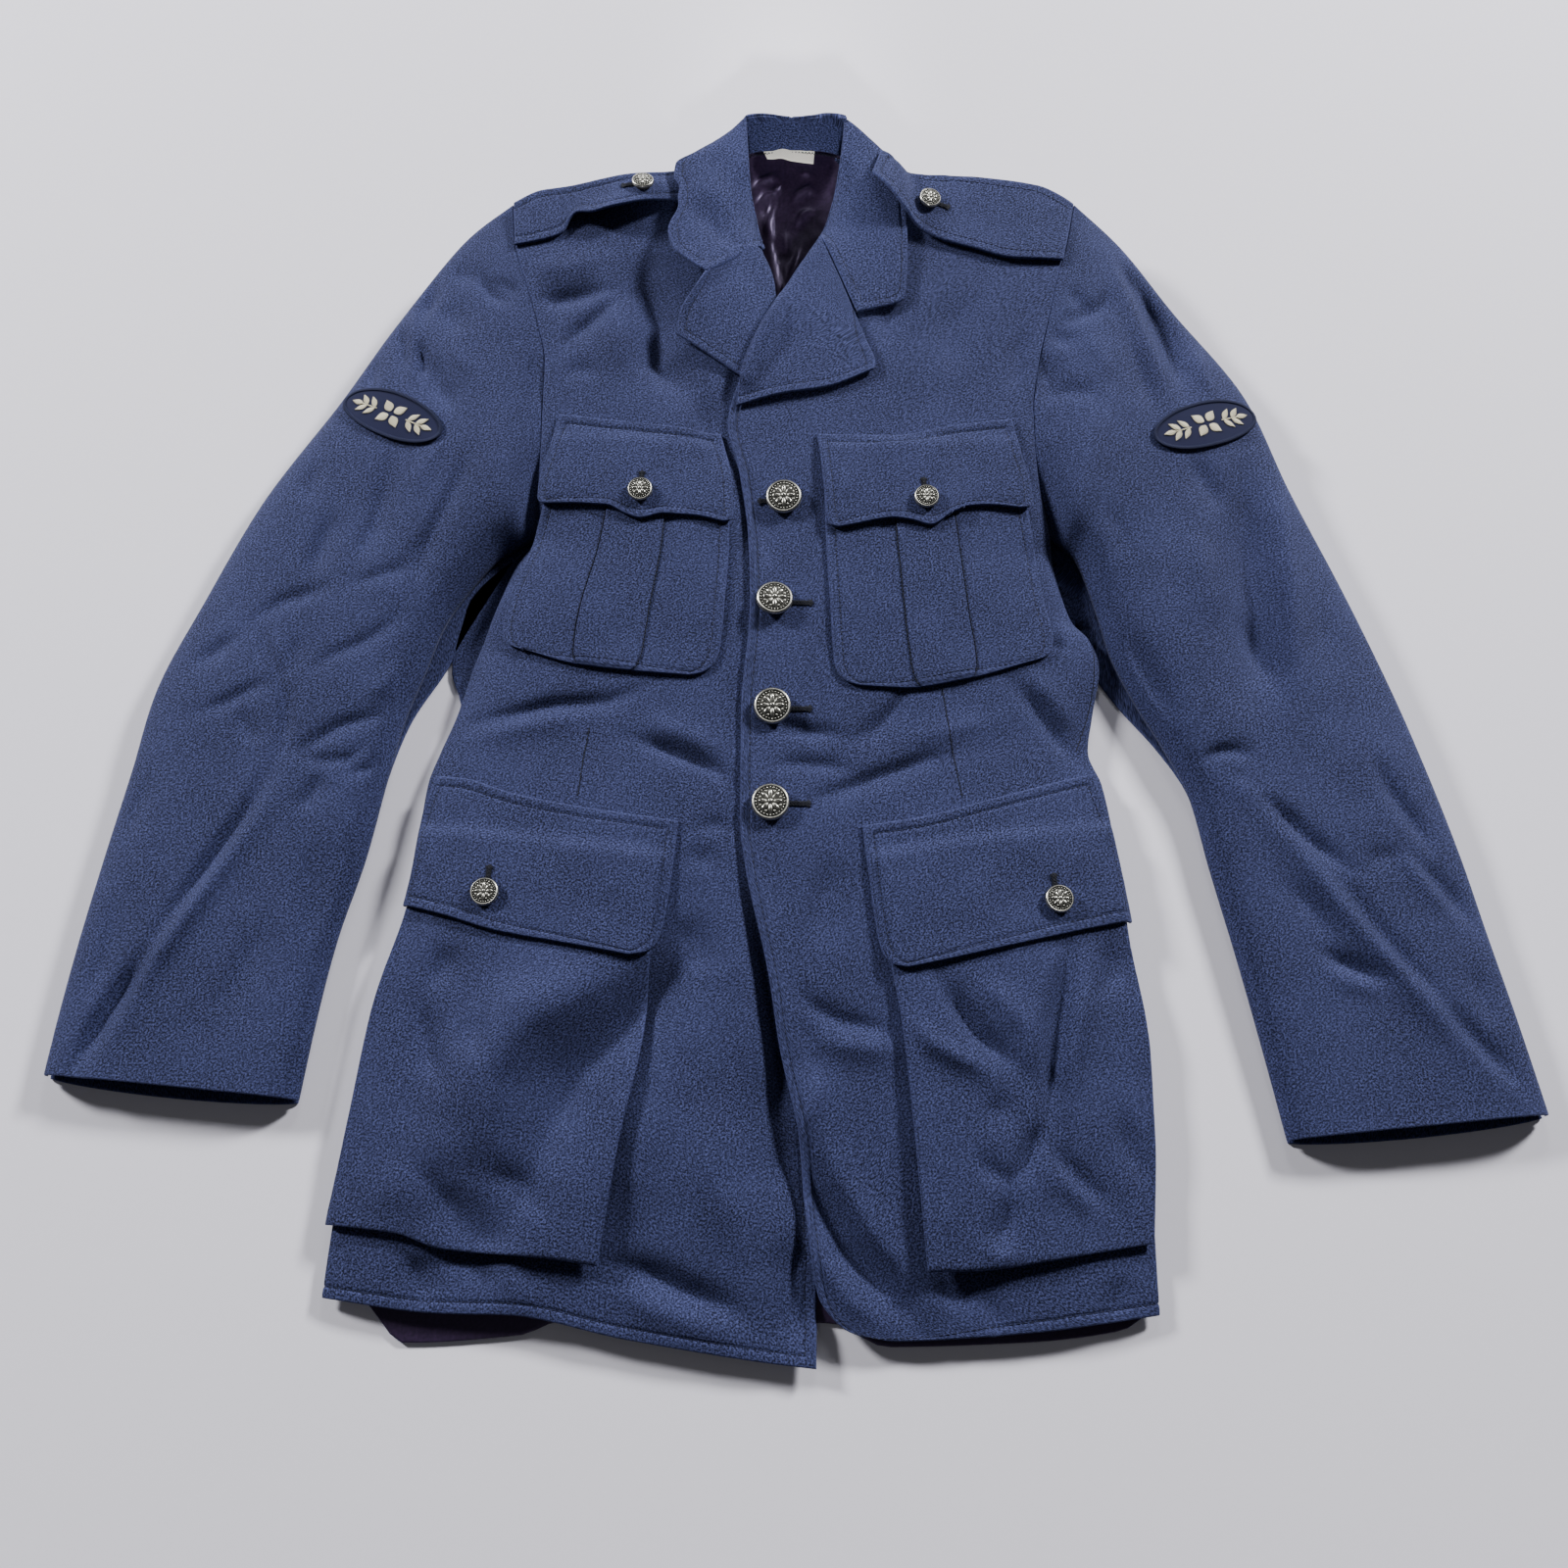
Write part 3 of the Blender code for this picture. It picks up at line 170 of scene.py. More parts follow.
# Folds and creases: half width, height (a trough is negative), lean where it isn't the usual one, which
# makes the side to the wearer's right steeper and the other one wider, and then the path
BODY_FOLDS = folds(
    # right skirt
    (18, 8, 0, (-84, -172), (-118, -194), (-152, -210), (-172, -240), (-171, -272), (-206, -292)),
    (23, -11, 0, (-56, -142), (-72, -184), (-96, -214), (-124, -242), (-136, -282), (-152, -330)),
    (22, -5, 0, (-190, -312), (-172, -326), (-146, -340)),
    (16, 3, 0, (-80, -244), (-86, -290), (-88, -330)),
    (12, 2.5, 0, (-186, -226), (-190, -262), (-192, -300)),
    (14, 3, 0, (-228, -306), (-196, -296), (-168, -300)),
    (9, -2.6, (-218, -190), (-207, -225), (-196, -256)),
    (16, 3, 0, (-52, -250), (-44, -300), (-20, -350)),
    (8, -5.5, 0.3, (-108, -340), (-80, -346), (-58, -356), (-36, -364), (-18, -376)),
    (9, 2.4, 0, (-100, -356), (-66, -368), (-30, -380)),
    (9, -2.6, (-207, -336), (-200, -352), (-195, -366)),
    (11, 2.4, 0, (-158, -334), (-148, -350), (-138, -372)),
    (8, -1.8, (-66, -112), (-52, -118), (-42, -108)),
    (11, -3, (-66, -150), (-56, -168), (-54, -190)),
    # left skirt
    (6, -3.6, 0.5, (0, -190), (9, -203), (26, -212), (60, -220)),
    (10, 3, 0, (8, -222), (30, -226), (64, -231)),
    (9, -2.4, (3, -206), (10, -226), (12, -250)),
    (8, 1.8, 0, (16, -236), (10, -262), (-2, -286)),
    (9, -8, 0.2, (4, -272), (12, -304), (28, -332), (48, -355), (68, -376)),
    (11, 3.6, 0, (14, -262), (26, -300), (46, -332), (74, -360)),
    (6, 2.4, 0, (8, -318), (16, -342), (30, -362), (50, -374)),
    (6, -2.4, (74, -350), (88, -359), (102, -352)),
    (6, -1.8, (100, -354), (106, -366), (110, -380)),
    (8, -1.8, (180, -346), (172, -360), (168, -374)),
    (12, -2.2, (26, -110), (18, -140), (12, -176)),
    # waist
    (6, -4.2, 0.5, (-204, -32), (-168, -25), (-148, -20), (-112, -18), (-84, -7)),
    (10, 2.2, 0, (-200, -42), (-160, -34), (-118, -28)),
    (5, -4.4, 0.5, (-100, -41), (-84, -46), (-66, -53), (-48, -62), (-33, -74)),
    (10, 2.4, 0, (-96, -30), (-66, -40), (-38, -54)),
    (5, -1.6, (-60, -100), (-46, -96), (-32, -99)),
    (5, -3.2, 0.4, (-26, -33), (-8, -33), (12, -38), (36, -41)),
    (5, -2.6, 0.4, (-14, -60), (4, -58), (24, -60), (40, -66)),
    (6, -3.6, 0.4, (4, -84), (24, -77), (50, -66), (78, -56), (104, -50)),
    (7, -3, 0.4, (34, -47), (48, -36), (58, -26), (72, -8)),
    (9, 1.8, 0, (58, -48), (92, -38), (128, -30)),
    (6, -3.6, 0.4, (128, 0), (146, -20), (160, -42), (180, -64)),
    (9, 2.4, 0, (140, 4), (158, -16), (176, -40)),
    (4, -1.6, (150, 16), (158, 20), (172, 19)),
    (7, -2.4, (-176, 60), (-184, 30), (-196, 4)),
    # chest
    (8, -4.2, 0.2, (-196, 262), (-160, 261), (-128, 267), (-104, 270)),
    (12, 2.4, 0, (-190, 282), (-150, 284), (-110, 292)),
    (7, -3.4, 0.3, (-106, 266), (-120, 256), (-138, 240), (-154, 222)),
    (15, -9, 0, (-92, 300), (-96, 276), (-88, 244), (-88, 218), (-72, 196), (-58, 180)),
    (13, 3, 0, (-118, 292), (-122, 262), (-112, 228), (-96, 196)),
    (9, -3.6, 0, (-60, 196), (-56, 172), (-50, 146), (-54, 120)),
    (7, -1.4, (-150, 200), (-140, 210), (-122, 206)),
    (10, -2, (-36, 140), (-22, 108), (-16, 60)),
    (9, -2.6, (156, 246), (148, 222), (146, 186)),
    (16, -2.2, 0, (118, 272), (104, 240), (102, 200)),
    (10, -1.8, (56, 286), (62, 250), (58, 222)),
)
UNDERLAP_FOLDS = folds(
    (12, -7, 0, (-20, -92), (-18, -140), (-12, -190), (-4, -240), (2, -292)),
    (26, -12, 0, (-8, -216), (0, -262), (6, -300), (6, -336)),
    (13, -8, 0, (4, -316), (3, -356), (0, -396)),
)
OVERLAP_FOLDS = folds(
    (9, 2.6, 0, (-24, -112), (-16, -150), (-8, -200), (2, -250)),
    (8, 1.4, 0, (-24, 120), (-20, 60), (-24, 10)),
)
SLEEVE_FOLDS = folds(
    # right sleeve head
    (5, -4.6, 0.3, (-208, 288), (-205, 276), (-197, 265), (-178, 257)),
    (4, -2.6, 0.3, (-200, 277), (-190, 272), (-176, 264)),
    (8, -2.6, (-228, 290), (-216, 282), (-202, 282)),
    (5, -5.6, 0.2, (-240, 302), (-240, 284), (-241, 264), (-243, 244)),
    (11, -3.4, (-232, 262), (-222, 248), (-220, 232)),
    (6, -3.2, (-264, 252), (-255, 232), (-252, 204)),
    (5, -2.8, (-279, 230), (-275, 212), (-272, 196)),
    (4, -5, 0.2, (-245, 236), (-241, 218), (-239, 200)),
    (9, -4.4, (-238, 222), (-230, 198), (-212, 174)),
    (6, 2.2, 0, (-252, 262), (-248, 236), (-246, 206)),
    (5, 1.8, 0, (-226, 232), (-214, 214), (-202, 200)),
    (8, -3, (-172, 226), (-168, 200), (-166, 176)),
    # right sleeve
    (7, -3.2, (-198, 164), (-206, 142), (-216, 116), (-228, 90), (-250, 60)),
    (9, 2, 0, (-216, 166), (-234, 136), (-240, 112)),
    (8, -3.4, (-254, 152), (-258, 124), (-262, 98), (-274, 66)),
    (8, -1.8, (-300, 148), (-306, 130), (-304, 112)),
    (8, -4, (-288, 112), (-294, 90), (-298, 70), (-300, 56)),
    (5.5, -3, 0.4, (-278, 60), (-302, 51), (-316, 46), (-334, 32)),
    (5, -2.2, 0.3, (-232, 72), (-250, 67), (-276, 56)),
    (5, -2.2, 0.3, (-330, 34), (-321, 16), (-312, 0), (-306, -22)),
    (6, 1.8, 0, (-322, 30), (-314, 12), (-305, -4)),
    (5, -2.4, 0.3, (-236, 50), (-247, 32), (-262, 20), (-282, 10), (-300, -8)),
    (8, -2.4, (-222, 96), (-232, 74), (-232, 50)),
    (7, -2.8, (-366, 4), (-352, 14), (-338, 26)),
    (8, -2, (-300, 26), (-304, 10), (-302, -6)),
    (5, -2.8, 0.4, (-362, -28), (-346, -22), (-330, -13), (-312, -4)),
    (4, -3.8, 0.2, (-315, -4), (-306, -16), (-304, -34), (-305, -54)),
    (6, -2.6, (-336, -24), (-328, -36), (-318, -50)),
    (5, -3.2, 0.3, (-303, -52), (-288, -46), (-274, -35), (-260, -30), (-240, -25)),
    (4.5, -2.6, 0.2, (-300, -48), (-284, -57), (-266, -56), (-252, -42)),
    (4.5, -3, 0.3, (-272, -66), (-254, -61), (-242, -50), (-232, -36)),
    (7, -3, (-276, -62), (-284, -74), (-292, -92)),
    (7, -3, (-250, -26), (-238, -14), (-228, 4)),
    (8, 2, 0, (-262, -18), (-246, -8), (-236, 10)),
    (6, -4.6, 0.4, (-307, -50), (-318, -80), (-335, -110), (-351, -138), (-371, -174)),
    (8, -7, 0.4, (-364, -164), (-379, -190), (-391, -212), (-406, -248)),
    (7, 4.6, 0, (-298, -60), (-310, -86), (-342, -142), (-362, -178), (-392, -246)),
    (12, -2.2, (-388, -130), (-392, -170), (-404, -214)),
    (9, -1.8, (-378, -60), (-388, -84), (-392, -110)),
    (14, -2.6, (-300, -150), (-318, -196), (-330, -214)),
    (13, -3, (-286, -100), (-278, -140), (-276, -176)),
    # left sleeve head
    (10, -9.5, 0, (226, 304), (233, 276), (243, 244), (251, 212), (255, 190)),
    (9, 2.6, 0, (212, 296), (220, 268), (230, 236)),
    (10, -4, 0, (252, 150), (262, 130), (276, 108)),
    (7, -3.4, 0, (218, 242), (226, 210), (234, 172)),
    (7, 2.6, 0, (224, 262), (236, 222), (244, 180)),
    (7, 2.6, 0, (266, 232), (268, 206), (274, 190)),
    (5, -4.6, 0.3, (172, 241), (186, 248), (202, 256), (213, 272)),
    (5, -2.6, 0.3, (180, 268), (190, 259), (197, 252)),
    (5, -3.2, 0.3, (166, 238), (176, 231), (190, 233)),
    (5, -3, 0, (222, 296), (225, 282), (226, 268)),
    (6, -3, 0.4, (162, 190), (176, 193), (190, 190), (198, 182)),
    (8, -3.4, (160, 226), (166, 204), (164, 180)),
    (9, 1.8, 0, (190, 240), (200, 220), (204, 196)),
    # left sleeve
    (21, -13, 0, (290, 158), (287, 110), (284, 56), (284, 4), (276, -46)),
    (13, 6, 0, (309, 150), (310, 100), (308, 44), (305, -4), (296, -52)),
    (16, 4.5, 0, (254, 96), (258, 60), (262, 22)),
    (9, -3.5, 0, (268, 44), (280, 30), (290, 6), (294, -20)),
    (14, -1.8, (320, 60), (326, 20), (330, -20)),
    (9, -2, (196, 112), (206, 92), (204, 70)),
    (9, -5, 0.2, (198, 36), (210, 10), (220, -14), (232, -40)),
    (5, -3.6, 0.5, (242, -58), (254, -51), (264, -51), (276, -58)),
    (9, 1.8, 0, (250, -68), (280, -80), (304, -94)),
    (5, -5, 0.4, (268, -70), (284, -86), (300, -105), (322, -124), (334, -126)),
    (5, -5, 0.4, (306, -116), (318, -132), (334, -158), (352, -184), (374, -210)),
    (6, -5, 0.4, (364, -200), (382, -222), (406, -250)),
    (10, 5, 0, (262, -78), (292, -112), (322, -158), (352, -198), (392, -250)),
    (5, -4.4, 0.5, (296, -168), (308, -177), (322, -183), (342, -190)),
    (6, 2, 0, (300, -184), (316, -192), (336, -198)),
    (6, -5, 0.2, (344, -52), (354, -76), (366, -98), (378, -120)),
    (6, -4.4, 0.3, (358, -112), (372, -128), (384, -144), (394, -162)),
    (6, 2.4, 0, (352, -112), (366, -134), (376, -154)),
    (7, -2, (330, -122), (344, -116), (360, -116)),
    (9, -2.4, (280, -128), (300, -150), (310, -172)),
    (9, -2.4, (384, -176), (390, -200), (398, -220)),
)
BACK_CREASES = folds(
    (18, 1, (-120, 240), (-60, 200), (10, 190)),
    (20, 0.9, (140, 120), (60, 60), (-20, 40)),
    (16, 1, (-160, -60), (-60, -90), (60, -80)),
    (22, 0.9, (-40, -380), (-30, -300), (-38, -220)),
)
LEAF_CREASES = folds(
    (8, -2.6, (-74, 336), (-58, 316), (-46, 303), (-30, 291)),
    (10, 1.6, 0, (-64, 352), (-44, 324), (-30, 308)),
    (8, -1.2, (-52, 366), (-44, 346), (-40, 330)),
    (9, 1.2, 0, (40, 352), (56, 330), (64, 300)),
)
LINING_CREASES = folds(
    (3.2, 3.4, (-27, 360), (-22, 367), (-14, 370), (-5, 366)),
    (2.8, 3, (-25, 350), (-18, 358), (-10, 359), (-6, 354)),
    (2.4, -1.8, (-20, 342), (-16, 350), (-12, 349)),
    (3.2, 3.4, (-1, 350), (4, 358), (12, 362), (19, 357)),
    (2.8, 3, (1, 334), (8, 344), (17, 347)),
    (2.6, 2.4, (4, 372), (10, 374), (16, 370)),
    (2.4, 2, (-16, 342), (-15, 333), (-11, 322)),
    (2.4, 2, (-5, 333), (-4, 322), (-2, 310)),
    (3, 2.4, (8, 326), (3, 308), (-3, 289)),
)
POCKET_CREASES = folds(
    # right pocket
    (9, -2.2, (-196, -165), (-200, -180), (-206, -196)),
    (6, -2.2, (-214, -196), (-208, -214), (-203, -232), (-192, -250)),
    (8, -1.4, (-174, -208), (-176, -226), (-168, -240)),
    (8, -2, (-172, -292), (-150, -300), (-132, -322)),
    (11, -2.4, (-216, -288), (-196, -300), (-176, -330)),
    # left pocket
    (7, 3.2, 0, (60, -208), (78, -226), (98, -237), (116, -248)),
    (6, -5.4, 0.5, (80, -182), (90, -202), (101, -219), (114, -231), (130, -242)),
    (9, 2.2, 0, (104, -186), (120, -205), (132, -225)),
    (6, -5.6, 0, (150, -166), (159, -172), (154, -192), (148, -214), (143, -234), (142, -262), (148, -280)),
    (8, 3, 0, (166, -176), (162, -206), (154, -236), (154, -262)),
    (8, 2.4, 0, (136, -196), (134, -226), (133, -256)),
    (5, -4.6, 0.4, (138, -279), (148, -291), (158, -302), (172, -314)),
    (7, 2, 0, (140, -290), (150, -302), (164, -316)),
    (5, -2.8, (99, -282), (105, -293), (114, -299), (123, -298)),
    (5, -4, 0.1, (120, -302), (126, -290), (131, -278), (138, -266)),
    (7, -3.4, 0.1, (119, -300), (114, -320), (106, -344)),
    (8, 2.2, 0, (98, -330), (110, -338), (124, -338)),
    (5, -2.6, (178, -258), (184, -284), (192, -306)),
    (9, -2.2, (176, -160), (180, -178), (174, -204)),
    (9, -1.6, (120, -250), (112, -262), (100, -262)),
)

# Seams and darts in the fronts, and the seam of the lining, seen as fine lines
SEAMS = (
    ((-122, -36), (-125, -58), (-127, -80)),
    ((91, -10), (95, -44), (101, -82)),
    ((187, 20), (186, 2), (182, -18), (171, -49)),
    ((-186, 334), (-182, 301), (-176, 281), (-166, 248), (-159.5, 214), (-159.5, 180), (-160, 129)),
    ((189, 334), (181, 301), (175, 281), (167, 248), (159.5, 214), (154.5, 180), (156, 129)),
)
LINING_SEAM = ((-4.3, 283), (-8.3, 308), (-11.7, 329), (-9, 350), (-3.6, 368), (-2.3, 388))

# The collar from the middle of the back to the notch
Roll = namedtuple("Roll", "x y z out_x out_y out_z foot_x foot_y foot_z")
OUT, FOOT = Roll._fields.index("out_x"), Roll._fields.index("foot_x")
RIGHT_COLLAR = (
    Roll(-0.3, 394, 56, -0.3, 398, 24, 0, 389.5, 30.6),
    Roll(-20, 395, 57, -27, 397, 28, -19, 388.5, 30.6),
    Roll(-32, 392, 57, -49, 383, 46, -33, 383, 32),
    Roll(-31, 372, 54, -65, 368, 51, -38, 368, 40),
    Roll(-29, 345, 50, -79, 346, 51, -34, 345, 42),
    Roll(-25, 328, 47, -82, 316, 50, -29, 329, 41),
    Roll(-22, 311, 45, -77, 294, 49, -22, 311, 39),
    Roll(-19, 299, 43, -55, 275, 44, -18, 303, 38),
)
RIGHT_LEAF_EDGE = (
    (-0.3, 398, 24), (-27, 397, 28), (-49, 383, 46), (-66, 369, 50), (-78, 359, 51), (-79, 349, 51),
    (-75, 339, 50.5), (-75, 326, 50.5), (-81, 306, 50), (-79, 294, 49), (-68, 283, 47), (-55, 274, 44),
)
LEFT_COLLAR = (
    Roll(0.3, 394, 56, 0.3, 398, 24, 0, 389.5, 30.6),
    Roll(24, 394, 57, 30, 396, 28, 20, 388.5, 30.6),
    Roll(37, 391, 57, 53, 380, 46, 35, 382, 32),
    Roll(35, 368, 54, 69, 362, 49, 41, 366, 40),
    Roll(31, 347, 50, 76, 338, 48, 36, 345, 42),
    Roll(26, 332, 47, 77, 300, 46, 31, 333, 41),
    Roll(21, 318, 45, 74, 260, 44, 23, 318, 39),
    Roll(18, 311, 44, 43, 249, 42, 19, 313, 38),
)
NECK_LINING = (
    (240, -30, 30, 8), (275, -38, 38, 10), (310, -44, 44, 13), (345, -42, 42, 20), (366, -34, 36, 25),
    (385, -35, 35, 28.4), (391, -36, 36, 29.4), (395, -36, 36, 29.4),
)

Patch = namedtuple("Patch", "bottom top start end")


def edged(bottom: tuple, top: tuple, start: tuple = (), end: tuple = ()) -> Patch:
    """A patch of cloth by its four edges, its start and end given between the corners alone."""
    return Patch(bottom, top, (bottom[0], *start, top[0]), (bottom[-1], *end, top[-1]))


# Patches of cloth
RIGHT_LAPEL = edged(
    bottom=((-75, 232), (-52, 216), (-27, 198)),
    top=((-55.5, 272.5), (-32, 297), (-20, 295.5)),
    start=((-73, 246), (-65, 260)),
    end=((-14, 232), (-10, 262), (-12, 277)),
)
LEFT_LAPEL = edged(
    bottom=((-36, 181), (-2, 190), (22, 194), (53, 207)),
    top=((16.5, 310), (30, 279), (42, 247)),
    start=((-33, 204), (-5, 266)),
    end=((54, 212), (48, 230)),
)
RIGHT_STRAP = edged(
    bottom=((-184, 301), (-158, 307), (-152, 311), (-149, 318), (-143, 323), (-131, 320), (-114, 322),
            (-93, 329), (-72, 336)),
    top=((-187, 336), (-167, 345), (-124, 349), (-104, 354), (-78, 360)),
    end=((-66, 350),),
)
LEFT_STRAP = edged(
    bottom=((53, 342), (61, 334), (75, 319), (96, 305), (121, 297), (147, 290), (180, 289)),
    top=((60, 366), (72, 363), (92, 357), (117, 356), (147, 352), (166, 349), (190, 336)),
)
RIGHT_CHEST_POCKET = edged(
    bottom=((-165, 15.8), (-132, 5), (-97, 0), (-62, -3)),
    top=((-148, 158), (-106, 155), (-50, 150)),
    start=((-172.5, 18.6), (-178, 25), (-179, 34), (-177, 48), (-163, 90)),
    end=((-54, -1), (-47.5, 4.5), (-44.5, 12.5), (-42, 37), (-39, 96)),
)
LEFT_CHEST_POCKET = edged(
    bottom=((41, -9.6), (71, -11), (106, -5), (148, 7.8)),
    top=((20, 150), (64, 152), (140, 155)),
    start=((33.5, -7.2), (28, -1.5), (25.4, 6), (23.5, 41), (21, 94)),
    end=((155, 10.8), (159.5, 16.5), (160.5, 24), (157, 44), (150, 100)),
)
RIGHT_CHEST_FLAP = edged(
    bottom=((-154, 112), (-130, 111), (-115, 109), (-104, 103), (-95, 100), (-80, 103),
            (-62, 102), (-43, 97.5)),
    top=((-149, 176), (-106, 170), (-46, 163)),
    start=((-158.5, 113.5), (-161, 118), (-160.5, 128), (-155, 150)),
    end=((-38.5, 98.5), (-36.5, 103), (-37, 116), (-38, 130)),
)
LEFT_CHEST_FLAP = edged(
    bottom=((29, 94), (40, 96), (62, 100), (76, 98), (86, 95), (100, 104), (110, 109),
            (124, 110), (143, 108.6)),
    top=((16, 161), (64, 160), (105, 168), (141, 172)),
    start=((24.5, 95.5), (22, 100), (20.5, 114), (18, 143)),
    end=((149, 109.8), (152, 114.5), (151.5, 124), (148, 140)),
)
RIGHT_LOWER_POCKET = edged(
    bottom=((-255, -322), (-214, -327), (-189, -335), (-131, -340), (-104, -344)),
    top=((-218, -100), (-150, -108), (-76, -118)),
    start=((-247, -264), (-241, -210), (-225, -145)),
    end=((-95, -282), (-84, -221), (-81, -176)),
)
LEFT_LOWER_POCKET = edged(
    bottom=((71, -347), (101, -346), (144, -340), (195, -332)),
    top=((49, -118), (110, -108), (186, -98)),
    start=((65, -263), (60, -209), (56, -184)),
    end=((200, -280), (201, -224), (193, -151)),
)
RIGHT_LOWER_FLAP = edged(
    bottom=((-227, -144), (-199, -152), (-171, -161), (-134, -168), (-93, -175.6)),
    top=((-214, -64), (-195, -67), (-166, -77), (-125, -86), (-67, -95)),
    start=((-223, -120), (-221, -92)),
    end=((-84, -174), (-77.5, -168), (-74.5, -159), (-70, -128)),
)
LEFT_LOWER_FLAP = edged(
    bottom=((65, -183), (75, -181), (107, -174), (150, -164), (198, -153)),
    top=((41, -98), (78, -92), (114, -82), (180, -63)),
    start=((57.5, -181.6), (52, -176.5), (49, -168), (44, -128)),
    end=((194, -125), (189, -95)),
)
LABEL = edged(
    bottom=((-16.5, 383.4), (15.3, 380)),
    top=((-20, 391), (16.3, 390.5)),
)

# Trimmings
Button = namedtuple("Button", "node x y across tall tilt", defaults=(0,))
BUTTONS = (
    Button("front_button_1", -5, 116, 22.5, 6.4),
    Button("front_button_2", -11, 46, 22.5, 6.4, 8),
    Button("front_button_3", -12, -23, 22.5, 6.4),
    Button("front_button_4", -13, -84, 22.5, 6.4),
    Button("chest_button_right", -95, 118, 15.5, 5.0),
    Button("chest_button_left", 84, 113, 15.5, 5.0),
    Button("lower_button_right", -177, -139, 16.5, 5.0),
    Button("lower_button_left", 153, -143, 16.5, 5.0),
    Button("strap_button_right", -99, 341, 14.5, 4.8),
    Button("strap_button_left", 92, 333, 14.5, 4.8),
)
Hole = namedtuple("Hole", "x y turn length shown", defaults=(1,))
BUTTONHOLES = (
    Hole(-10.5, 115, 2, 19, -1), Hole(1, 45, -1, 21), Hole(0, -24, 0, 21), Hole(-1, -84, 0, 21),
    Hole(-94.5, 124, 88, 13), Hole(83, 119.5, 92, 13), Hole(-176, -131, 86, 14), Hole(151.5, -135.5, 94, 14),
    Hole(-104, 340.5, 6, 16, -1), Hole(98, 331, -22, 14),
)
Badge = namedtuple("Badge", "name x y turn")
BADGES = (Badge("right", -257, 176, -26), Badge("left", 266, 170, 19))
Lamp = namedtuple("Lamp", "name place size power")


# Curves, heights and noise


def follow(keys: Array, values: Array, at: Array) -> Array:
    """Reads a smooth curve through table values, with no overshoot between them.

    Args:
        keys: the places where the table has values, rising.
        values: the values there.
        at: the places to read.

    Returns:
        The curve's values.
    """
    keys, values = np.asarray(keys, float), np.asarray(values, float)
    at = np.clip(at, keys[0], keys[-1])
    step = np.diff(keys)
    slope = np.diff(values) / step
    both = slope[:-1] * slope[1:]
    total = np.where(both > 0, slope[:-1] + slope[1:], 1.0)
    inner = np.where(both > 0, 2.0 * both / total, 0.0)
    tangent = np.concatenate([[slope[0]], inner, [slope[-1]]])
    i = np.clip(np.searchsorted(keys, at, side="right") - 1, 0, len(keys) - 2)
    t = (at - keys[i]) / step[i]
    share = t * t * (3 - 2 * t)
    bend = t * (1 - t) ** 2 * tangent[i] - (1 - t) * t**2 * tangent[i + 1]
    return values[i] * (1 - share) + values[i + 1] * share + step[i] * bend


def read(rows: tuple, key: int, value: int, at: Array) -> Array:
    """Reads one column of a table against another."""
    table = np.array(rows, float)
    return follow(table[:, key], table[:, value], at)


def body_at(column: str, y: Array) -> Array:
    """One column of the body's table, at heights up the jacket."""
    return read(BODY, 0, Section._fields.index(column), y)


def lengths(line: Array) -> Array:
    """The length of a line of places up to each of them, from 0."""
    return np.concatenate([[0.0], np.cumsum(np.linalg.norm(np.diff(line, axis=0), axis=1))])


def at_lengths(line: Array, run: Array, at: Array) -> Array:
    """Places on a straight-legged line, by the length up to them."""
    return np.stack([np.interp(at, run, column) for column in line.T], axis=-1)


def along(points: tuple, share: Array) -> Array:
    """Places along an edge, by the share of its length.

    Args:
        points: the edge's places.
        share: shares of its length, from 0 to 1.

    Returns:
        A smooth curve's places at those shares.
    """
    table = np.array(points, float)
    run = lengths(table)
    at = np.asarray(share) * run[-1]
    return np.stack([follow(run, table[:, 0], at), follow(run, table[:, 1], at)], axis=-1)


def smooth_step(t: Array) -> Array:
    """From 0 to 1, level at both ends."""
    t = np.clip(t, 0.0, 1.0)
    return t * t * (3 - 2 * t)


def flat_top(s: Array) -> Array:
    """The share of the crown's height across a section, from -1 to 1."""
    s = np.clip(np.abs(s), 0.0, 1.0)
    return 0.45 * (1 - s**4) + 0.55 * np.sqrt(1 - s**16)


# How a fold's height falls off: the power and the width of its crest, how many widths it reaches, the
# share of its path that fades at each end and the height left there, how softly it turns over its
# crest, and the way to its wider side
CREST, NARROW, REACH = 1.5, 0.85, 3.2
END_FADE, END_HEIGHT, TURN_OVER = 0.42, 0.12, 0.6
WIDE_WAY = (0.97, -0.24)

# Uneven cloth: the size of the lattice of random heights, and where the jacket's middle lies on it
LATTICE = 96
LATTICE_START = (31.7, 47.3)

# The share of the body's half width over which folds fade at its sides, and how deep they are drawn
SIDE_FADE, FOLD_DEPTH = 0.12, 1.3


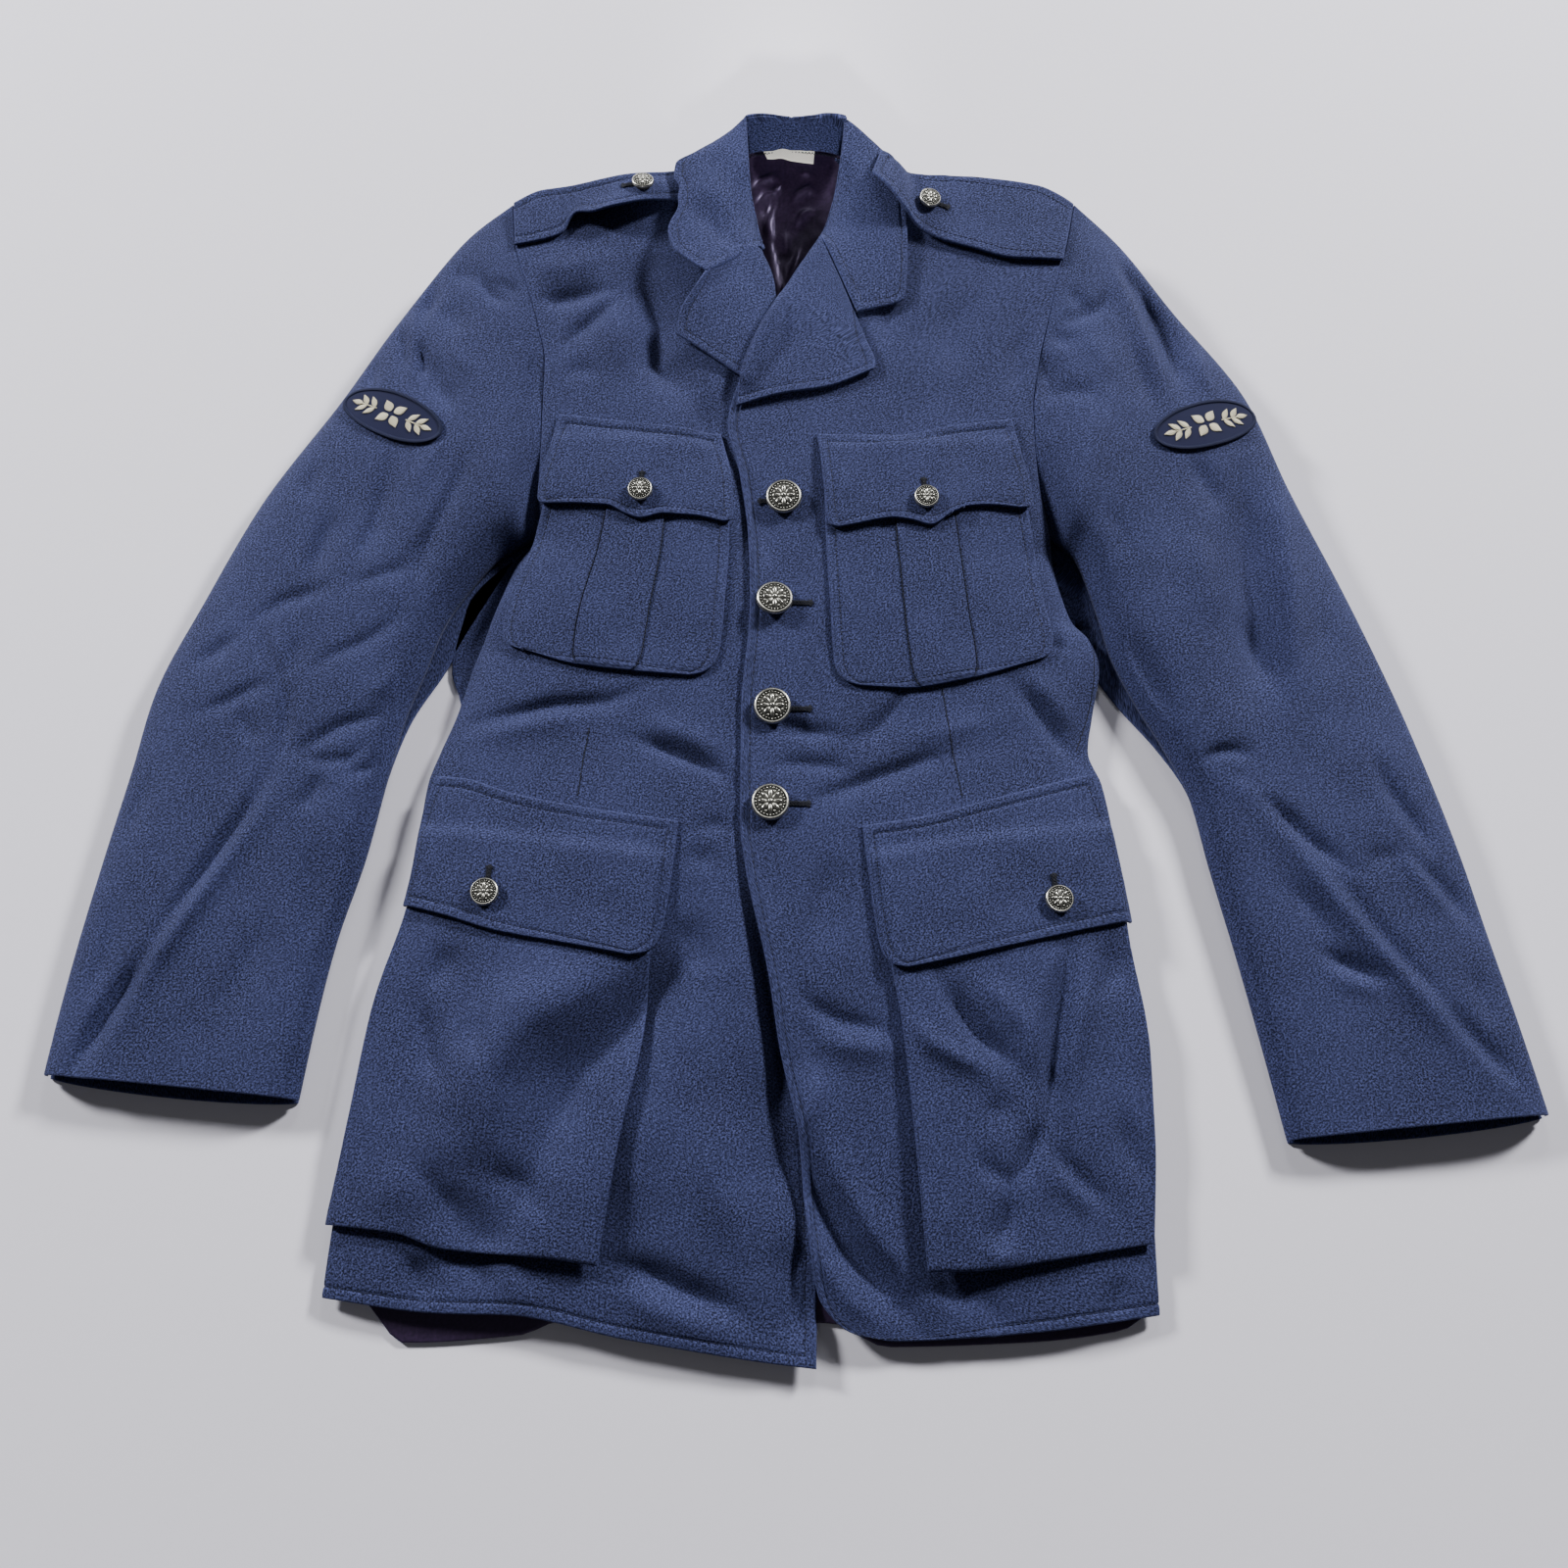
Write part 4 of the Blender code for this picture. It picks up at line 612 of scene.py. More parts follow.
def folds_at(folds: tuple, x: Array, y: Array) -> Array:
    """The height that a table of folds adds at each place.

    Args:
        folds: the table of folds.
        x: places across, in mm.
        y: places up, in mm.

    Returns:
        The sum of their heights, in mm.
    """
    x, y = np.broadcast_arrays(x, y)
    total = np.zeros(x.shape)
    for fold in folds:
        path = np.array(fold.path, float)
        low, high = path.min(axis=0) - REACH * fold.width, path.max(axis=0) + REACH * fold.width
        near = (x > low[0]) & (x < high[0]) & (y > low[1]) & (y < high[1])
        if not near.any():
            continue
        px, py = x[near], y[near]
        best, off, place = np.full(px.shape, np.inf), np.zeros((2, px.size)), np.zeros(px.shape)
        passed = lengths(path)
        for (ax, ay), (dx, dy), length, run in zip(path, np.diff(path, axis=0), np.diff(passed), passed):
            t = np.clip(((px - ax) * dx + (py - ay) * dy) / length**2, 0, 1)
            away = np.array([px - ax - t * dx, py - ay - t * dy])
            distance = np.hypot(*away)
            nearer = distance < best
            best, off = np.where(nearer, distance, best), np.where(nearer, away, off)
            place = np.where(nearer, run + t * length, place)
        ends = smooth_step(np.minimum(place, passed[-1] - place) / (END_FADE * passed[-1]))
        far = (off[0] * WIDE_WAY[0] + off[1] * WIDE_WAY[1]) / (best + TURN_OVER)
        width = NARROW * fold.width * (1 + fold.lean * far)
        total[near] += (fold.height * (END_HEIGHT + (1 - END_HEIGHT) * ends)
                        * np.exp(-((best / width) ** CREST)))
    return total


def ripple(x: Array, y: Array, size: float, seed: int) -> Array:
    """Smooth unevenness from -1 to 1, with bumps of about the given size.

    Args:
        x: places across, in mm.
        y: places up, in mm.
        size: the spacing of the bumps, in mm.
        seed: a number that picks the pattern.

    Returns:
        The unevenness at each place.
    """
    lattice = np.random.default_rng(seed).uniform(-1, 1, (LATTICE + 1, LATTICE + 1))
    gx, gy = np.asarray(x) / size + LATTICE_START[0], np.asarray(y) / size + LATTICE_START[1]
    i, j = np.floor(gx).astype(int), np.floor(gy).astype(int)
    a, b = smooth_step(gx - i), smooth_step(gy - j)
    i, j = i % LATTICE, j % LATTICE
    low = lattice[i, j] * (1 - a) + lattice[i + 1, j] * a
    high = lattice[i, j + 1] * (1 - a) + lattice[i + 1, j + 1] * a
    return low * (1 - b) + high * b


def drape(x: Array, y: Array, seed: int = 3) -> Array:
    """The slight unevenness of pressed wool that has been worn."""
    return sum(height * ripple(x, y, size, seed + number)
               for number, (height, size) in enumerate(((0.55, 58), (0.22, 23), (0.06, 8))))


def body_height(x: Array, y: Array) -> Array:
    """The upper face of the jacket's body, with its folds and creases.

    Args:
        x: places across, in mm.
        y: places up, in mm.

    Returns:
        The height there, in mm.
    """
    right, left, edge, crown = (body_at(column, y) for column in Section._fields[1:])
    s = (x - (left + right) / 2) / ((left - right) / 2)
    fade = smooth_step((1 - np.abs(s)) / SIDE_FADE)
    folds = FOLD_DEPTH * folds_at(BODY_FOLDS, x, y) + drape(x, y)
    return edge + (crown - edge) * flat_top(s) + folds * fade


def patch_places(patch: Patch, u: Array, v: Array) -> Array:
    """Places inside four edges, u from start to end and v from bottom to top.

    Args:
        patch: the four edges.
        u: shares from start to end.
        v: shares from bottom to top.

    Returns:
        The places across and up.
    """
    bottom, top = along(patch.bottom, u), along(patch.top, u)
    start, end = along(patch.start, v), along(patch.end, v)
    ends = np.array([0.0, 1.0])
    low, high = along(patch.bottom, ends), along(patch.top, ends)
    u, v = u[..., None], v[..., None]
    mixed = (1 - v) * ((1 - u) * low[0] + u * low[1]) + v * ((1 - u) * high[0] + u * high[1])
    return (1 - v) * bottom + v * top + (1 - u) * start + u * end - mixed


class Side(Enum):
    """The four sides of a sheet."""

    START = "start"
    END = "end"
    BOTTOM = "bottom"
    TOP = "top"


ALL_SIDES = frozenset(Side)


def spaced(length: float, step: float, first: bool, last: bool) -> Array:
    """Shares along a side, even in the middle and gathered at stitched edges.

    Args:
        length: the side's length in mm.
        step: the spacing in mm.
        first: whether the near edge is stitched.
        last: whether the far edge is stitched.

    Returns:
        Rising shares from 0 to 1.
    """
    low = np.array(STITCHED_STEPS if first else PLAIN_STEPS)
    high = length - np.array(STITCHED_STEPS if last else PLAIN_STEPS)[::-1]
    count = max(2, int((high[0] - low[-1]) / step) + 1)
    return np.concatenate([low, np.linspace(low[-1], high[0], count + 1)[1:-1], high]) / length


def runs(places: Array) -> tuple[Array, Array]:
    """Lengths along the rows and along the columns of a grid of places.

    Args:
        places: the grid of places.

    Returns:
        The lengths along each row, and along each column.
    """
    across = np.linalg.norm(np.diff(places, axis=1), axis=2)
    up = np.linalg.norm(np.diff(places, axis=0), axis=2)
    return (np.concatenate([np.zeros((len(places), 1)), np.cumsum(across, axis=1)], axis=1),
            np.concatenate([np.zeros((1, places.shape[1])), np.cumsum(up, axis=0)], axis=0))


def facing(places: Array) -> Array:
    """Unit normals of a grid of places."""
    normal = np.cross(np.gradient(places, axis=1), np.gradient(places, axis=0))
    return normal / np.maximum(np.linalg.norm(normal, axis=2, keepdims=True), 1e-9)


class Ground:
    """The height of what is laid so far, on a grid of one millimetre."""

    X0, Y0 = -440, -410
    ACROSS, UP = 880, 830
    SPACING = 0.8

    def __init__(self) -> None:
        """Starts with the bare surface."""
        self.height = np.zeros((self.UP, self.ACROSS))

    def copy(self) -> "Ground":
        """The same heights, to which other pieces can be added.

        Returns:
            The copy.
        """
        made = Ground()
        made.height = self.height.copy()
        return made

    def lay(self, places: Array) -> None:
        """Adds a sheet's upper face, given as a grid of places.

        Args:
            places: the grid of places.
        """
        fine = places
        for axis in (0, 1):
            gaps = np.linalg.norm(np.diff(fine[..., :2], axis=axis), axis=2)
            split = max(1, int(math.ceil(gaps.max() / self.SPACING)))
            count = (fine.shape[axis] - 1) * split + 1
            at = np.linspace(0, fine.shape[axis] - 1, count)
            i = np.minimum(at.astype(int), fine.shape[axis] - 2)
            t = (at - i).reshape((-1, 1, 1) if axis == 0 else (1, -1, 1))
            fine = np.take(fine, i, axis) * (1 - t) + np.take(fine, i + 1, axis) * t
        column = np.clip(np.round(fine[..., 0] - self.X0).astype(int), 0, self.ACROSS - 1)
        row = np.clip(np.round(fine[..., 1] - self.Y0).astype(int), 0, self.UP - 1)
        np.maximum.at(self.height, (row.ravel(), column.ravel()), fine[..., 2].ravel())

    def under(self, x: Array, y: Array, reach: int = 3, soften: float = 2.5) -> Array:
        """The height that a sheet has to clear, as a smooth cover over what is laid.

        Args:
            x: places across, in mm.
            y: places up, in mm.
            reach: how far round each place the cover looks, in mm.
            soften: the width of its smoothing, in mm.

        Returns:
            The cover's height at each place.
        """
        tail = int(3 * soften)
        margin = reach + tail + 3
        x0 = max(int(x.min()) - margin - self.X0, 0)
        y0 = max(int(y.min()) - margin - self.Y0, 0)
        x1 = min(int(x.max()) + margin - self.X0, self.ACROSS)
        y1 = min(int(y.max()) + margin - self.Y0, self.UP)
        cover = self.height[y0:y1, x0:x1].copy()
        for axis in (0, 1):
            cover = np.max([np.roll(cover, shift, axis) for shift in range(-reach, reach + 1)], axis=0)
        taps = np.arange(-tail, tail + 1)
        weights = np.exp(-((taps / soften) ** 2) / 2)
        weights /= weights.sum()
        for axis in (0, 1):
            cover = sum(weight * np.roll(cover, tap, axis) for tap, weight in zip(taps, weights))
        gx, gy = x - self.X0 - x0, y - self.Y0 - y0
        i = np.clip(np.floor(gx).astype(int), 0, cover.shape[1] - 2)
        j = np.clip(np.floor(gy).astype(int), 0, cover.shape[0] - 2)
        a, b = np.clip(gx - i, 0, 1), np.clip(gy - j, 0, 1)
        low = cover[j, i] * (1 - a) + cover[j, i + 1] * a
        high = cover[j + 1, i] * (1 - a) + cover[j + 1, i + 1] * a
        return low * (1 - b) + high * b


# Finishes


def linear(code: str) -> tuple[float, float, float, float]:
    """Turns an sRGB hex colour to linear values."""
    parts = [int(code[k:k + 2], 16) / 255 for k in (1, 3, 5)]
    return (*[p / 12.92 if p <= 0.04045 else ((p + 0.055) / 1.055) ** 2.4 for p in parts], 1.0)


def set_inputs(node: Node, inputs: dict) -> None:
    """Sets each named input of a node to a value or hex colour, or links the socket that feeds it.

    Args:
        node: the node.
        inputs: values, hex colours or sockets by input name or number.
    """
    for key, value in inputs.items():
        if isinstance(value, NodeSocket):
            node.id_data.links.new(value, node.inputs[key])
        else:
            node.inputs[key].default_value = linear(value) if isinstance(value, str) else value


def add_node(tree: NodeTree, kind: str, inputs: dict | None = None, out: int | str = 0,
             **settings: object) -> NodeSocket:
    """Adds a node with its settings and links.

    Args:
        tree: the material's node tree.
        kind: the node's type name, without the ShaderNode that it starts with.
        inputs: its inputs by socket name or number, as set_inputs takes them.
        out: the output that is wanted.
        settings: the node's own properties.

    Returns:
        The new node's output.
    """
    made = tree.nodes.new("ShaderNode" + kind)
    for key, value in settings.items():
        setattr(made, key, value)
    set_inputs(made, inputs or {})
    return made.outputs[out]


def start_material(name: str, **constants: object) -> tuple[Material, Callable, Node]:
    """Starts a node material.

    Args:
        name: the material's name.
        constants: what is the same all over, set on the shader's own sockets.

    Returns:
        The material, its own add_node and its shader.
    """
    made = bpy.data.materials.new(name)
    made.use_nodes = True
    shader = made.node_tree.nodes["Principled BSDF"]
    set_inputs(shader, {key.replace("_", " "): value for key, value in constants.items()})
    return made, partial(add_node, made.node_tree), shader


# The length of one band of a wave texture whose scale is 1, in metres
BAND = 0.314


@dataclass(frozen=True)
class WoolTwill:
    """Heathered worsted wool twill, woven and pressed."""

    name: str = "heathered wool twill"
    shade: str = "#06091a"
    middle: str = "#161a33"
    light: str = "#49507f"
    rib: float = 2.0
    fleck: float = 1.12
    hair: float = 1.4
    bloom: float = 55.0
    turn: float = 45.0

    def make(self) -> Material:
        """Builds the node material.

        Returns:
            The finished material.
        """
        # Worsted wool twill, dyed in the fibre and pressed: to the eye a soft dull blue of pale and dark
        # flecks, with a fine diagonal rib and a weak cool nap. Its edges are paler, partly from rubbed wear
        # and partly as a painted highlight where the rounded edges catch the light. The rib of 2 mm and the
        # flecks are drawn coarser than the real ones of about 1 mm and less, to show.
        made, add, shader = start_material(
            self.name, Roughness=0.88, IOR=1.45, Specular_IOR_Level=0.2, Sheen_Weight=0.08,
            Sheen_Roughness=0.45, Sheen_Tint="#a3a8c8",
        )
        flat = add("UVMap", uv_map="cloth")
        turned = add("Mapping", {"Vector": flat, "Rotation": (0, 0, math.radians(self.turn))})
        rib = add("TexWave", {"Vector": turned, "Scale": BAND / (self.rib * MM), "Distortion": 0.7,
                              "Detail": 1.0, "Detail Scale": 2.5}, 1, wave_type="BANDS", bands_direction="X")
        fleck = add("TexNoise", {"Vector": flat, "Scale": 1 / (self.fleck * MM), "Detail": 2.0,
                                 "Roughness": 0.65})
        drawn = add("Mapping", {"Vector": flat, "Scale": (1.0, 0.1, 1.0)})
        hair = add("TexNoise", {"Vector": drawn, "Scale": 1 / (self.hair * MM), "Detail": 2.0})
        bloom = add("TexNoise", {"Vector": flat, "Scale": 1 / (self.bloom * MM), "Detail": 2.0})
        rim = add("Attribute", out="Fac", attribute_name="rim")
        colour = self.shade
        # each layer's pattern, the values where it starts and ends, its most and its colour
        for source, low, high, most, tone in (
            (fleck, 0.41, 0.61, 1.0, self.light),
            (hair, 0.35, 0.65, 0.36, self.middle),
            (rib, 0.0, 1.0, 0.3, self.shade),
            (bloom, 0.40, 0.70, 0.12, self.light),
            # the rim: edges paler, partly rubbed wear and partly a painted highlight where they catch the
            # light
            (rim, 1.6, 0.2, 0.25, self.light),
        ):
            share = add("MapRange", {0: source, 1: low, 2: high, 4: most})
            colour = add("Mix", {0: share, 6: colour, 7: tone}, 2, data_type="RGBA")
        height = add("Math", {0: fleck, 1: 0.5, 2: rib}, operation="MULTIPLY_ADD")
        bump = add("Bump", {"Height": height, "Strength": 0.12, "Distance": 0.06 * MM})
        set_inputs(shader, {"Base Color": colour, "Normal": bump})
        return made


@dataclass(frozen=True)
class LiningSatin:
    """Rayon satin lining, woven with long floats."""

    name: str = "lining satin"
    deep: str = "#150d1c"
    lift: str = "#2a1d34"
    grain: float = 2.0

    def make(self) -> Material:
        """Builds the node material.

        Returns:
            The finished material.
        """
        # Rayon satin, piece-dyed: to the eye a dark aubergine whose floats give a soft bright shine. Its
        # grain of 2 mm stands for threads that are too fine to show.
        made, add, shader = start_material(
            self.name, Roughness=0.42, IOR=1.5, Specular_IOR_Level=0.95, Specular_Tint="#b9a9dc",
        )
        flat = add("UVMap", uv_map="cloth")
        grain = add("TexNoise", {"Vector": flat, "Scale": 1 / (self.grain * MM), "Detail": 2.0})
        share = add("MapRange", {0: grain, 1: 0.3, 2: 0.7})
        colour = add("Mix", {0: share, 6: self.deep, 7: self.lift}, 2, data_type="RGBA")
        bump = add("Bump", {"Height": grain, "Strength": 0.2, "Distance": 0.1 * MM})
        set_inputs(shader, {"Base Color": colour, "Normal": bump})
        return made


@dataclass(frozen=True)
class Thread:
    """Twisted sewing or embroidery thread, and the ribbon and felt that go with it."""

    name: str
    colour: str
    # light: the colour of the ribs' crests, painted lighter as a painted highlight
    light: str
    rib: float = 0.9
    roughness: float = 0.6

    def make(self) -> Material:
        """Builds the node material.

        Returns:
            The finished material.
        """
        # Dyed thread, spun and twisted: to the eye fine cross ribs and a little shine, the crests of the ribs
        # painted lighter as a painted highlight. The ribs are drawn coarser than the real ones of about 0.3
        # mm, to show.
        made, add, shader = start_material(self.name, Roughness=self.roughness, IOR=1.45,
                                           Specular_IOR_Level=0.3)
        rib = add("TexWave", {"Vector": add("TexCoord", out="Object"), "Scale": BAND / (self.rib * MM),
                              "Distortion": 1.5, "Detail": 1.0}, 1,
                  wave_type="BANDS", bands_direction="DIAGONAL")
        colour = add("Mix", {0: rib, 6: self.colour, 7: self.light}, 2, data_type="RGBA")
        bump = add("Bump", {"Height": rib, "Strength": 0.5, "Distance": 0.15 * MM})
        set_inputs(shader, {"Base Color": colour, "Normal": bump})
        return made


@dataclass(frozen=True)
class Pewter:
    """Die-struck white metal, oxidised and rubbed."""

    name: str = "oxidised white metal"
    bright: str = "#b0afa8"
    dark: str = "#2e2e2c"
    grain: float = 0.9

    def make(self) -> Material:
        """Builds the node material.

        Returns:
            The finished material.
        """
        # White metal, struck, blackened and buffed: to the eye dark and dull in the hollows, and bright
        # and smoother on the relief and the edges.
        made, add, shader = start_material(self.name, Metallic=1.0)
        grain = add("TexNoise", {"Vector": add("TexCoord", out="Object"), "Scale": 1 / (self.grain * MM),
                                 "Detail": 3.0})
        relief = add("Attribute", out="Fac", attribute_name="relief")
        share = add("Math", {0: grain, 1: 0.35, 2: relief}, operation="MULTIPLY_ADD")
        edge = add("NewGeometry", out="Pointiness")
        colour = self.dark
        for source, low, high in ((share, 0.15, 0.95), (edge, 0.5, 0.62)):
            rubbed = add("MapRange", {0: source, 1: low, 2: high})
            colour = add("Mix", {0: rubbed, 6: colour, 7: self.bright}, 2, data_type="RGBA")
        set_inputs(shader, {"Base Color": colour, "Roughness": add("MapRange", {0: share, 1: 1.6, 2: 0.0})})
        return made


@dataclass(frozen=True)
class PlainFloor:
    """A pale matt studio floor, painted and even."""

    name: str = "pale studio floor"
    colour: str = "#e6e4ef"
    shade: str = "#d2d0dc"
    mottle: float = 5.5556

    def make(self) -> Material:
        """Builds the node material.

        Returns:
            The finished material.
        """
        # Matt emulsion, rolled on: to the eye an even pale grey with a faint mottle.
        made, add, shader = start_material(self.name, Roughness=0.95, Specular_IOR_Level=0.1)
        grain = add("TexNoise", {"Vector": add("TexCoord", out="Object"), "Scale": 1 / (self.mottle * MM),
                                 "Detail": 3.0})
        share = add("MapRange", {0: grain, 4: 0.12})
        colour = add("Mix", {0: share, 6: self.colour, 7: self.shade}, 2, data_type="RGBA")
        set_inputs(shader, {"Base Color": colour})
        return made


# Sheets and stitches


def deselect_all() -> None:
    """Leaves nothing selected, so that an operator acts only on what it is given."""
    if bpy.context.object and bpy.context.object.mode != "OBJECT":
        bpy.ops.object.mode_set(mode="OBJECT")
    bpy.ops.object.select_all(action="DESELECT")


def new_mesh(name: str, points: Array, faces: list, finish: Material) -> Object:
    """Makes an object from points in mm, with smooth faces and one finish.

    Args:
        name: the object's name.
        points: the corners, in mm.
        faces: the corner numbers of each face.
        finish: the material.

    Returns:
        The linked object, at the origin.
    """
    mesh = bpy.data.meshes.new(name)
    mesh.from_pydata((np.asarray(points) * MM).tolist(), [], faces)
    mesh.polygons.foreach_set("use_smooth", np.ones(len(mesh.polygons), bool))
    mesh.materials.append(finish)
    mesh.update()
    made = bpy.data.objects.new(name, mesh)
    bpy.context.scene.collection.objects.link(made)
    return made


def hand_over(piece: Object, slot: str, nodes: tuple = ()) -> None:
    """Parents a finished piece to the body, hides the nodes that it stands for, and logs its faces.

    Args:
        piece: the finished piece.
        slot: the record's slot of its finish; not used.
        nodes: the nodes that it stands for, if any.
    """
    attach(piece, BODY_NAME)
    if nodes:
        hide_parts(*nodes)
    LOG.info("%s: %d faces", piece.name, len(piece.data.polygons))


@dataclass
class Sheet:
    """A sheet of cloth with a wall, from a grid of places on its upper face."""

    name: str
    places: Array
    finish: Material
    nodes: tuple = ()
    wall: float = WOOL_WALL
    round_off: float = 0.8
    stitched: frozenset = frozenset()
    rounded: frozenset = ALL_SIDES
    slot: str = "wool"
    fanned: bool = False
    upper: Array = field(init=False)
    normals: Array = field(init=False)

    def distances(self) -> dict:
        """How far each place is from each side, along the cloth."""
        across, up = runs(self.places)
        return {Side.START: across, Side.END: across[:, -1:] - across,
                Side.BOTTOM: up, Side.TOP: up[-1:] - up}

    def nearest(self, sides: frozenset) -> Array:
        """The distance to the nearest of some sides."""
        away = self.distances()
        return np.min([away[side] for side in Side if side in sides], axis=0)

    def build(self, rests_on: tuple = ()) -> Object:
        """Args:
            rests_on: the nodes or pieces that it lies on; not used.

        Returns:
            The finished piece.
        """
        self.normals = facing(self.places)
        rim = self.nearest(self.rounded)
        bevel = np.clip(1 - rim / self.round_off, 0, 1)
        drop = (1 - np.sqrt(1 - bevel**2)) * self.round_off * 0.8
        if self.stitched:
            line = self.nearest(self.stitched) - STITCH_INSET
            drop = (drop + STITCH_GROOVE * np.exp(-((line / GROOVE_WIDTH) ** 2))
                    - PUFF * np.exp(-(((line + PUFF_INSET) / PUFF_WIDTH) ** 2)))
        self.upper = self.places - self.normals * drop[..., None]
        lower = self.places - self.normals * self.wall
        piece = self.closed(lower, rim)
        hand_over(piece, self.slot, self.nodes)
        self.declare()
        return piece

    def closed(self, lower: Array, rim: Array) -> Object:
        """Joins the upper and lower faces round the edge into one closed mesh.

        Args:
            lower: the places of its lower face.
            rim: each place's distance from the edge.

        Returns:
            The piece, with the cloth's own UV map and the distance from the rim as an attribute.
        """
        rows, columns = self.places.shape[:2]
        index = np.arange(rows * columns).reshape(rows, columns)
        quads = np.stack([index[:-1, :-1], index[:-1, 1:], index[1:, 1:], index[1:, :-1]], axis=-1)
        quads = quads.reshape(-1, 4)
        under = quads[:, ::-1] + rows * columns
        loop = np.concatenate([index[0, :-1], index[:-1, -1], index[-1, :0:-1], index[:0:-1, 0]])
        after = np.roll(loop, -1)
        wall = np.stack([loop, loop + rows * columns, after + rows * columns, after], axis=-1)
        faces = np.concatenate([quads, under, wall])
        points = np.concatenate([self.upper.reshape(-1, 3), lower.reshape(-1, 3)])
        piece = new_mesh(self.name, points, faces.tolist(), self.finish)
        mesh = piece.data
        across, up = runs(self.places)
        flat = np.stack([across, up], axis=-1)
        if self.fanned:
            middle = slice(columns // 2, columns // 2 + 1)
            way = self.places[:, -1:, :2] - self.places[:, :1, :2]
            way /= np.linalg.norm(way, axis=2, keepdims=True)
            flat = self.places[:, middle, :2] + (across - across[:, middle])[..., None] * way
        flat = np.tile(flat.reshape(-1, 2), (2, 1)) * MM
        corners = np.empty(len(mesh.loops), int)
        mesh.loops.foreach_get("vertex_index", corners)
        mesh.uv_layers.new(name="cloth").data.foreach_set("uv", flat[corners].ravel())
        share = mesh.attributes.new("rim", "FLOAT", "POINT")
        share.data.foreach_set("value", np.tile(np.minimum(rim, FAR_IN).ravel(), 2))
        return piece

    def declare(self) -> None:
        """Measures the sheet along the cloth, and does nothing more with it.
        """
        across, up = runs(self.places)

    def line_from(self, side: Side, inset: float) -> tuple[Array, Array]:
        """A line on the cloth at a distance from one side.

        Args:
            side: the side that it follows.
            inset: the distance from it, in mm.

        Returns:
            The line's places and the cloth's normals there, away from other stitched edges.
        """

        def turned(grid: Array) -> Array:
            """The grid with its rows running away from the side."""
            grid = grid.swapaxes(0, 1) if side in (Side.BOTTOM, Side.TOP) else grid
            return grid[:, ::-1] if side in (Side.END, Side.TOP) else grid

        away = {other: turned(distance) for other, distance in self.distances().items()}
        steep, grid, normals = away[side], turned(self.upper), turned(self.normals)
        i = np.array([np.searchsorted(row, inset) for row in steep]).clip(1, steep.shape[1] - 1)
        here = np.arange(len(steep))
        gap = np.maximum(steep[here, i] - steep[here, i - 1], 1e-9)
        t = ((inset - steep[here, i - 1]) / gap)[:, None]
        line = grid[here, i - 1] * (1 - t) + grid[here, i] * t
        keep = np.full(len(line), True)
        for other in self.stitched - {side}:
            keep &= away[other][here, i] >= inset - GROOVE_WIDTH
        return line[keep], normals[here, i][keep]


class Stitches:
    """Short threads laid on the cloth, gathered into one piece."""

    TURNS = 6

    def __init__(self, name: str, finish: Material, slot: str = "wool") -> None:
        """Starts with no thread laid."""
        self.name, self.finish, self.slot = name, finish, slot
        self.threads = []

    def add(self, middle: Array, way: Array, normal: Array, length: float, radius: float) -> None:
        """Lays one thread, by its middle, direction, the cloth's normal, length and radius."""
        self.threads.append((*middle, *way, *normal, length, radius))

    def run(self, line: Array, normals: Array, length: float = 2.7, gap: float = 0.8,
            radius: float = 0.3, rise: float = 0.05) -> None:
        """Sews along a line on the cloth.

        Args:
            line: the line's places.
            normals: the cloth's normals there.
            length: a stitch's length in mm.
            gap: the space to the next one.
            radius: the thread's radius.
            rise: how far the thread's middle lies above the cloth.
        """
        if len(line) < 2:
            return
        run = lengths(line)
        count = int((run[-1] - length) / (length + gap)) + 1
        for number in range(max(count, 0)):
            at = length / 2 + number * (length + gap)
            start, end = at_lengths(line, run, np.array([at - length / 2, at + length / 2]))
            normal = at_lengths(normals, run, at)
            self.add((start + end) / 2 + normal * rise, end - start, normal, length, radius)

    def build(self) -> None:
        """Makes all the threads as one piece."""
        rings = ((-0.5, 0.35), (-0.38, 0.85), (0.0, 1.0), (0.38, 0.85), (0.5, 0.35))
        middle, way, normal, sizes = np.split(np.array(self.threads), (3, 6, 9), axis=1)
        way = way / np.linalg.norm(way, axis=1, keepdims=True)
        side = np.cross(way, normal)
        side /= np.maximum(np.linalg.norm(side, axis=1, keepdims=True), 1e-9)
        rise = np.cross(side, way)
        points = []
        for place, width in rings:
            for turn in range(self.TURNS):
                angle = 2 * math.pi * turn / self.TURNS
                points.append(middle + way * sizes[:, :1] * place
                              + (side * math.cos(angle) + rise * math.sin(angle)) * sizes[:, 1:] * width)
        corners = np.stack(points, axis=1).reshape(-1, 3)
        last = (len(rings) - 1) * self.TURNS
        faces = [list(range(self.TURNS)), [last + k for k in reversed(range(self.TURNS))]]
        for ring in range(len(rings) - 1):
            for turn in range(self.TURNS):
                after = (turn + 1) % self.TURNS
                low, high = ring * self.TURNS, (ring + 1) * self.TURNS
                faces.append([low + after, low + turn, high + turn, high + after])
        each = len(rings) * self.TURNS
        every = [[corner + each * number for corner in face]
                 for number in range(len(self.threads)) for face in faces]
        hand_over(new_mesh(self.name, corners, every, self.finish), self.slot)


def made_from(finish: object) -> Material:
    """A field whose material is made when the finishes are."""
    return field(default_factory=finish.make)


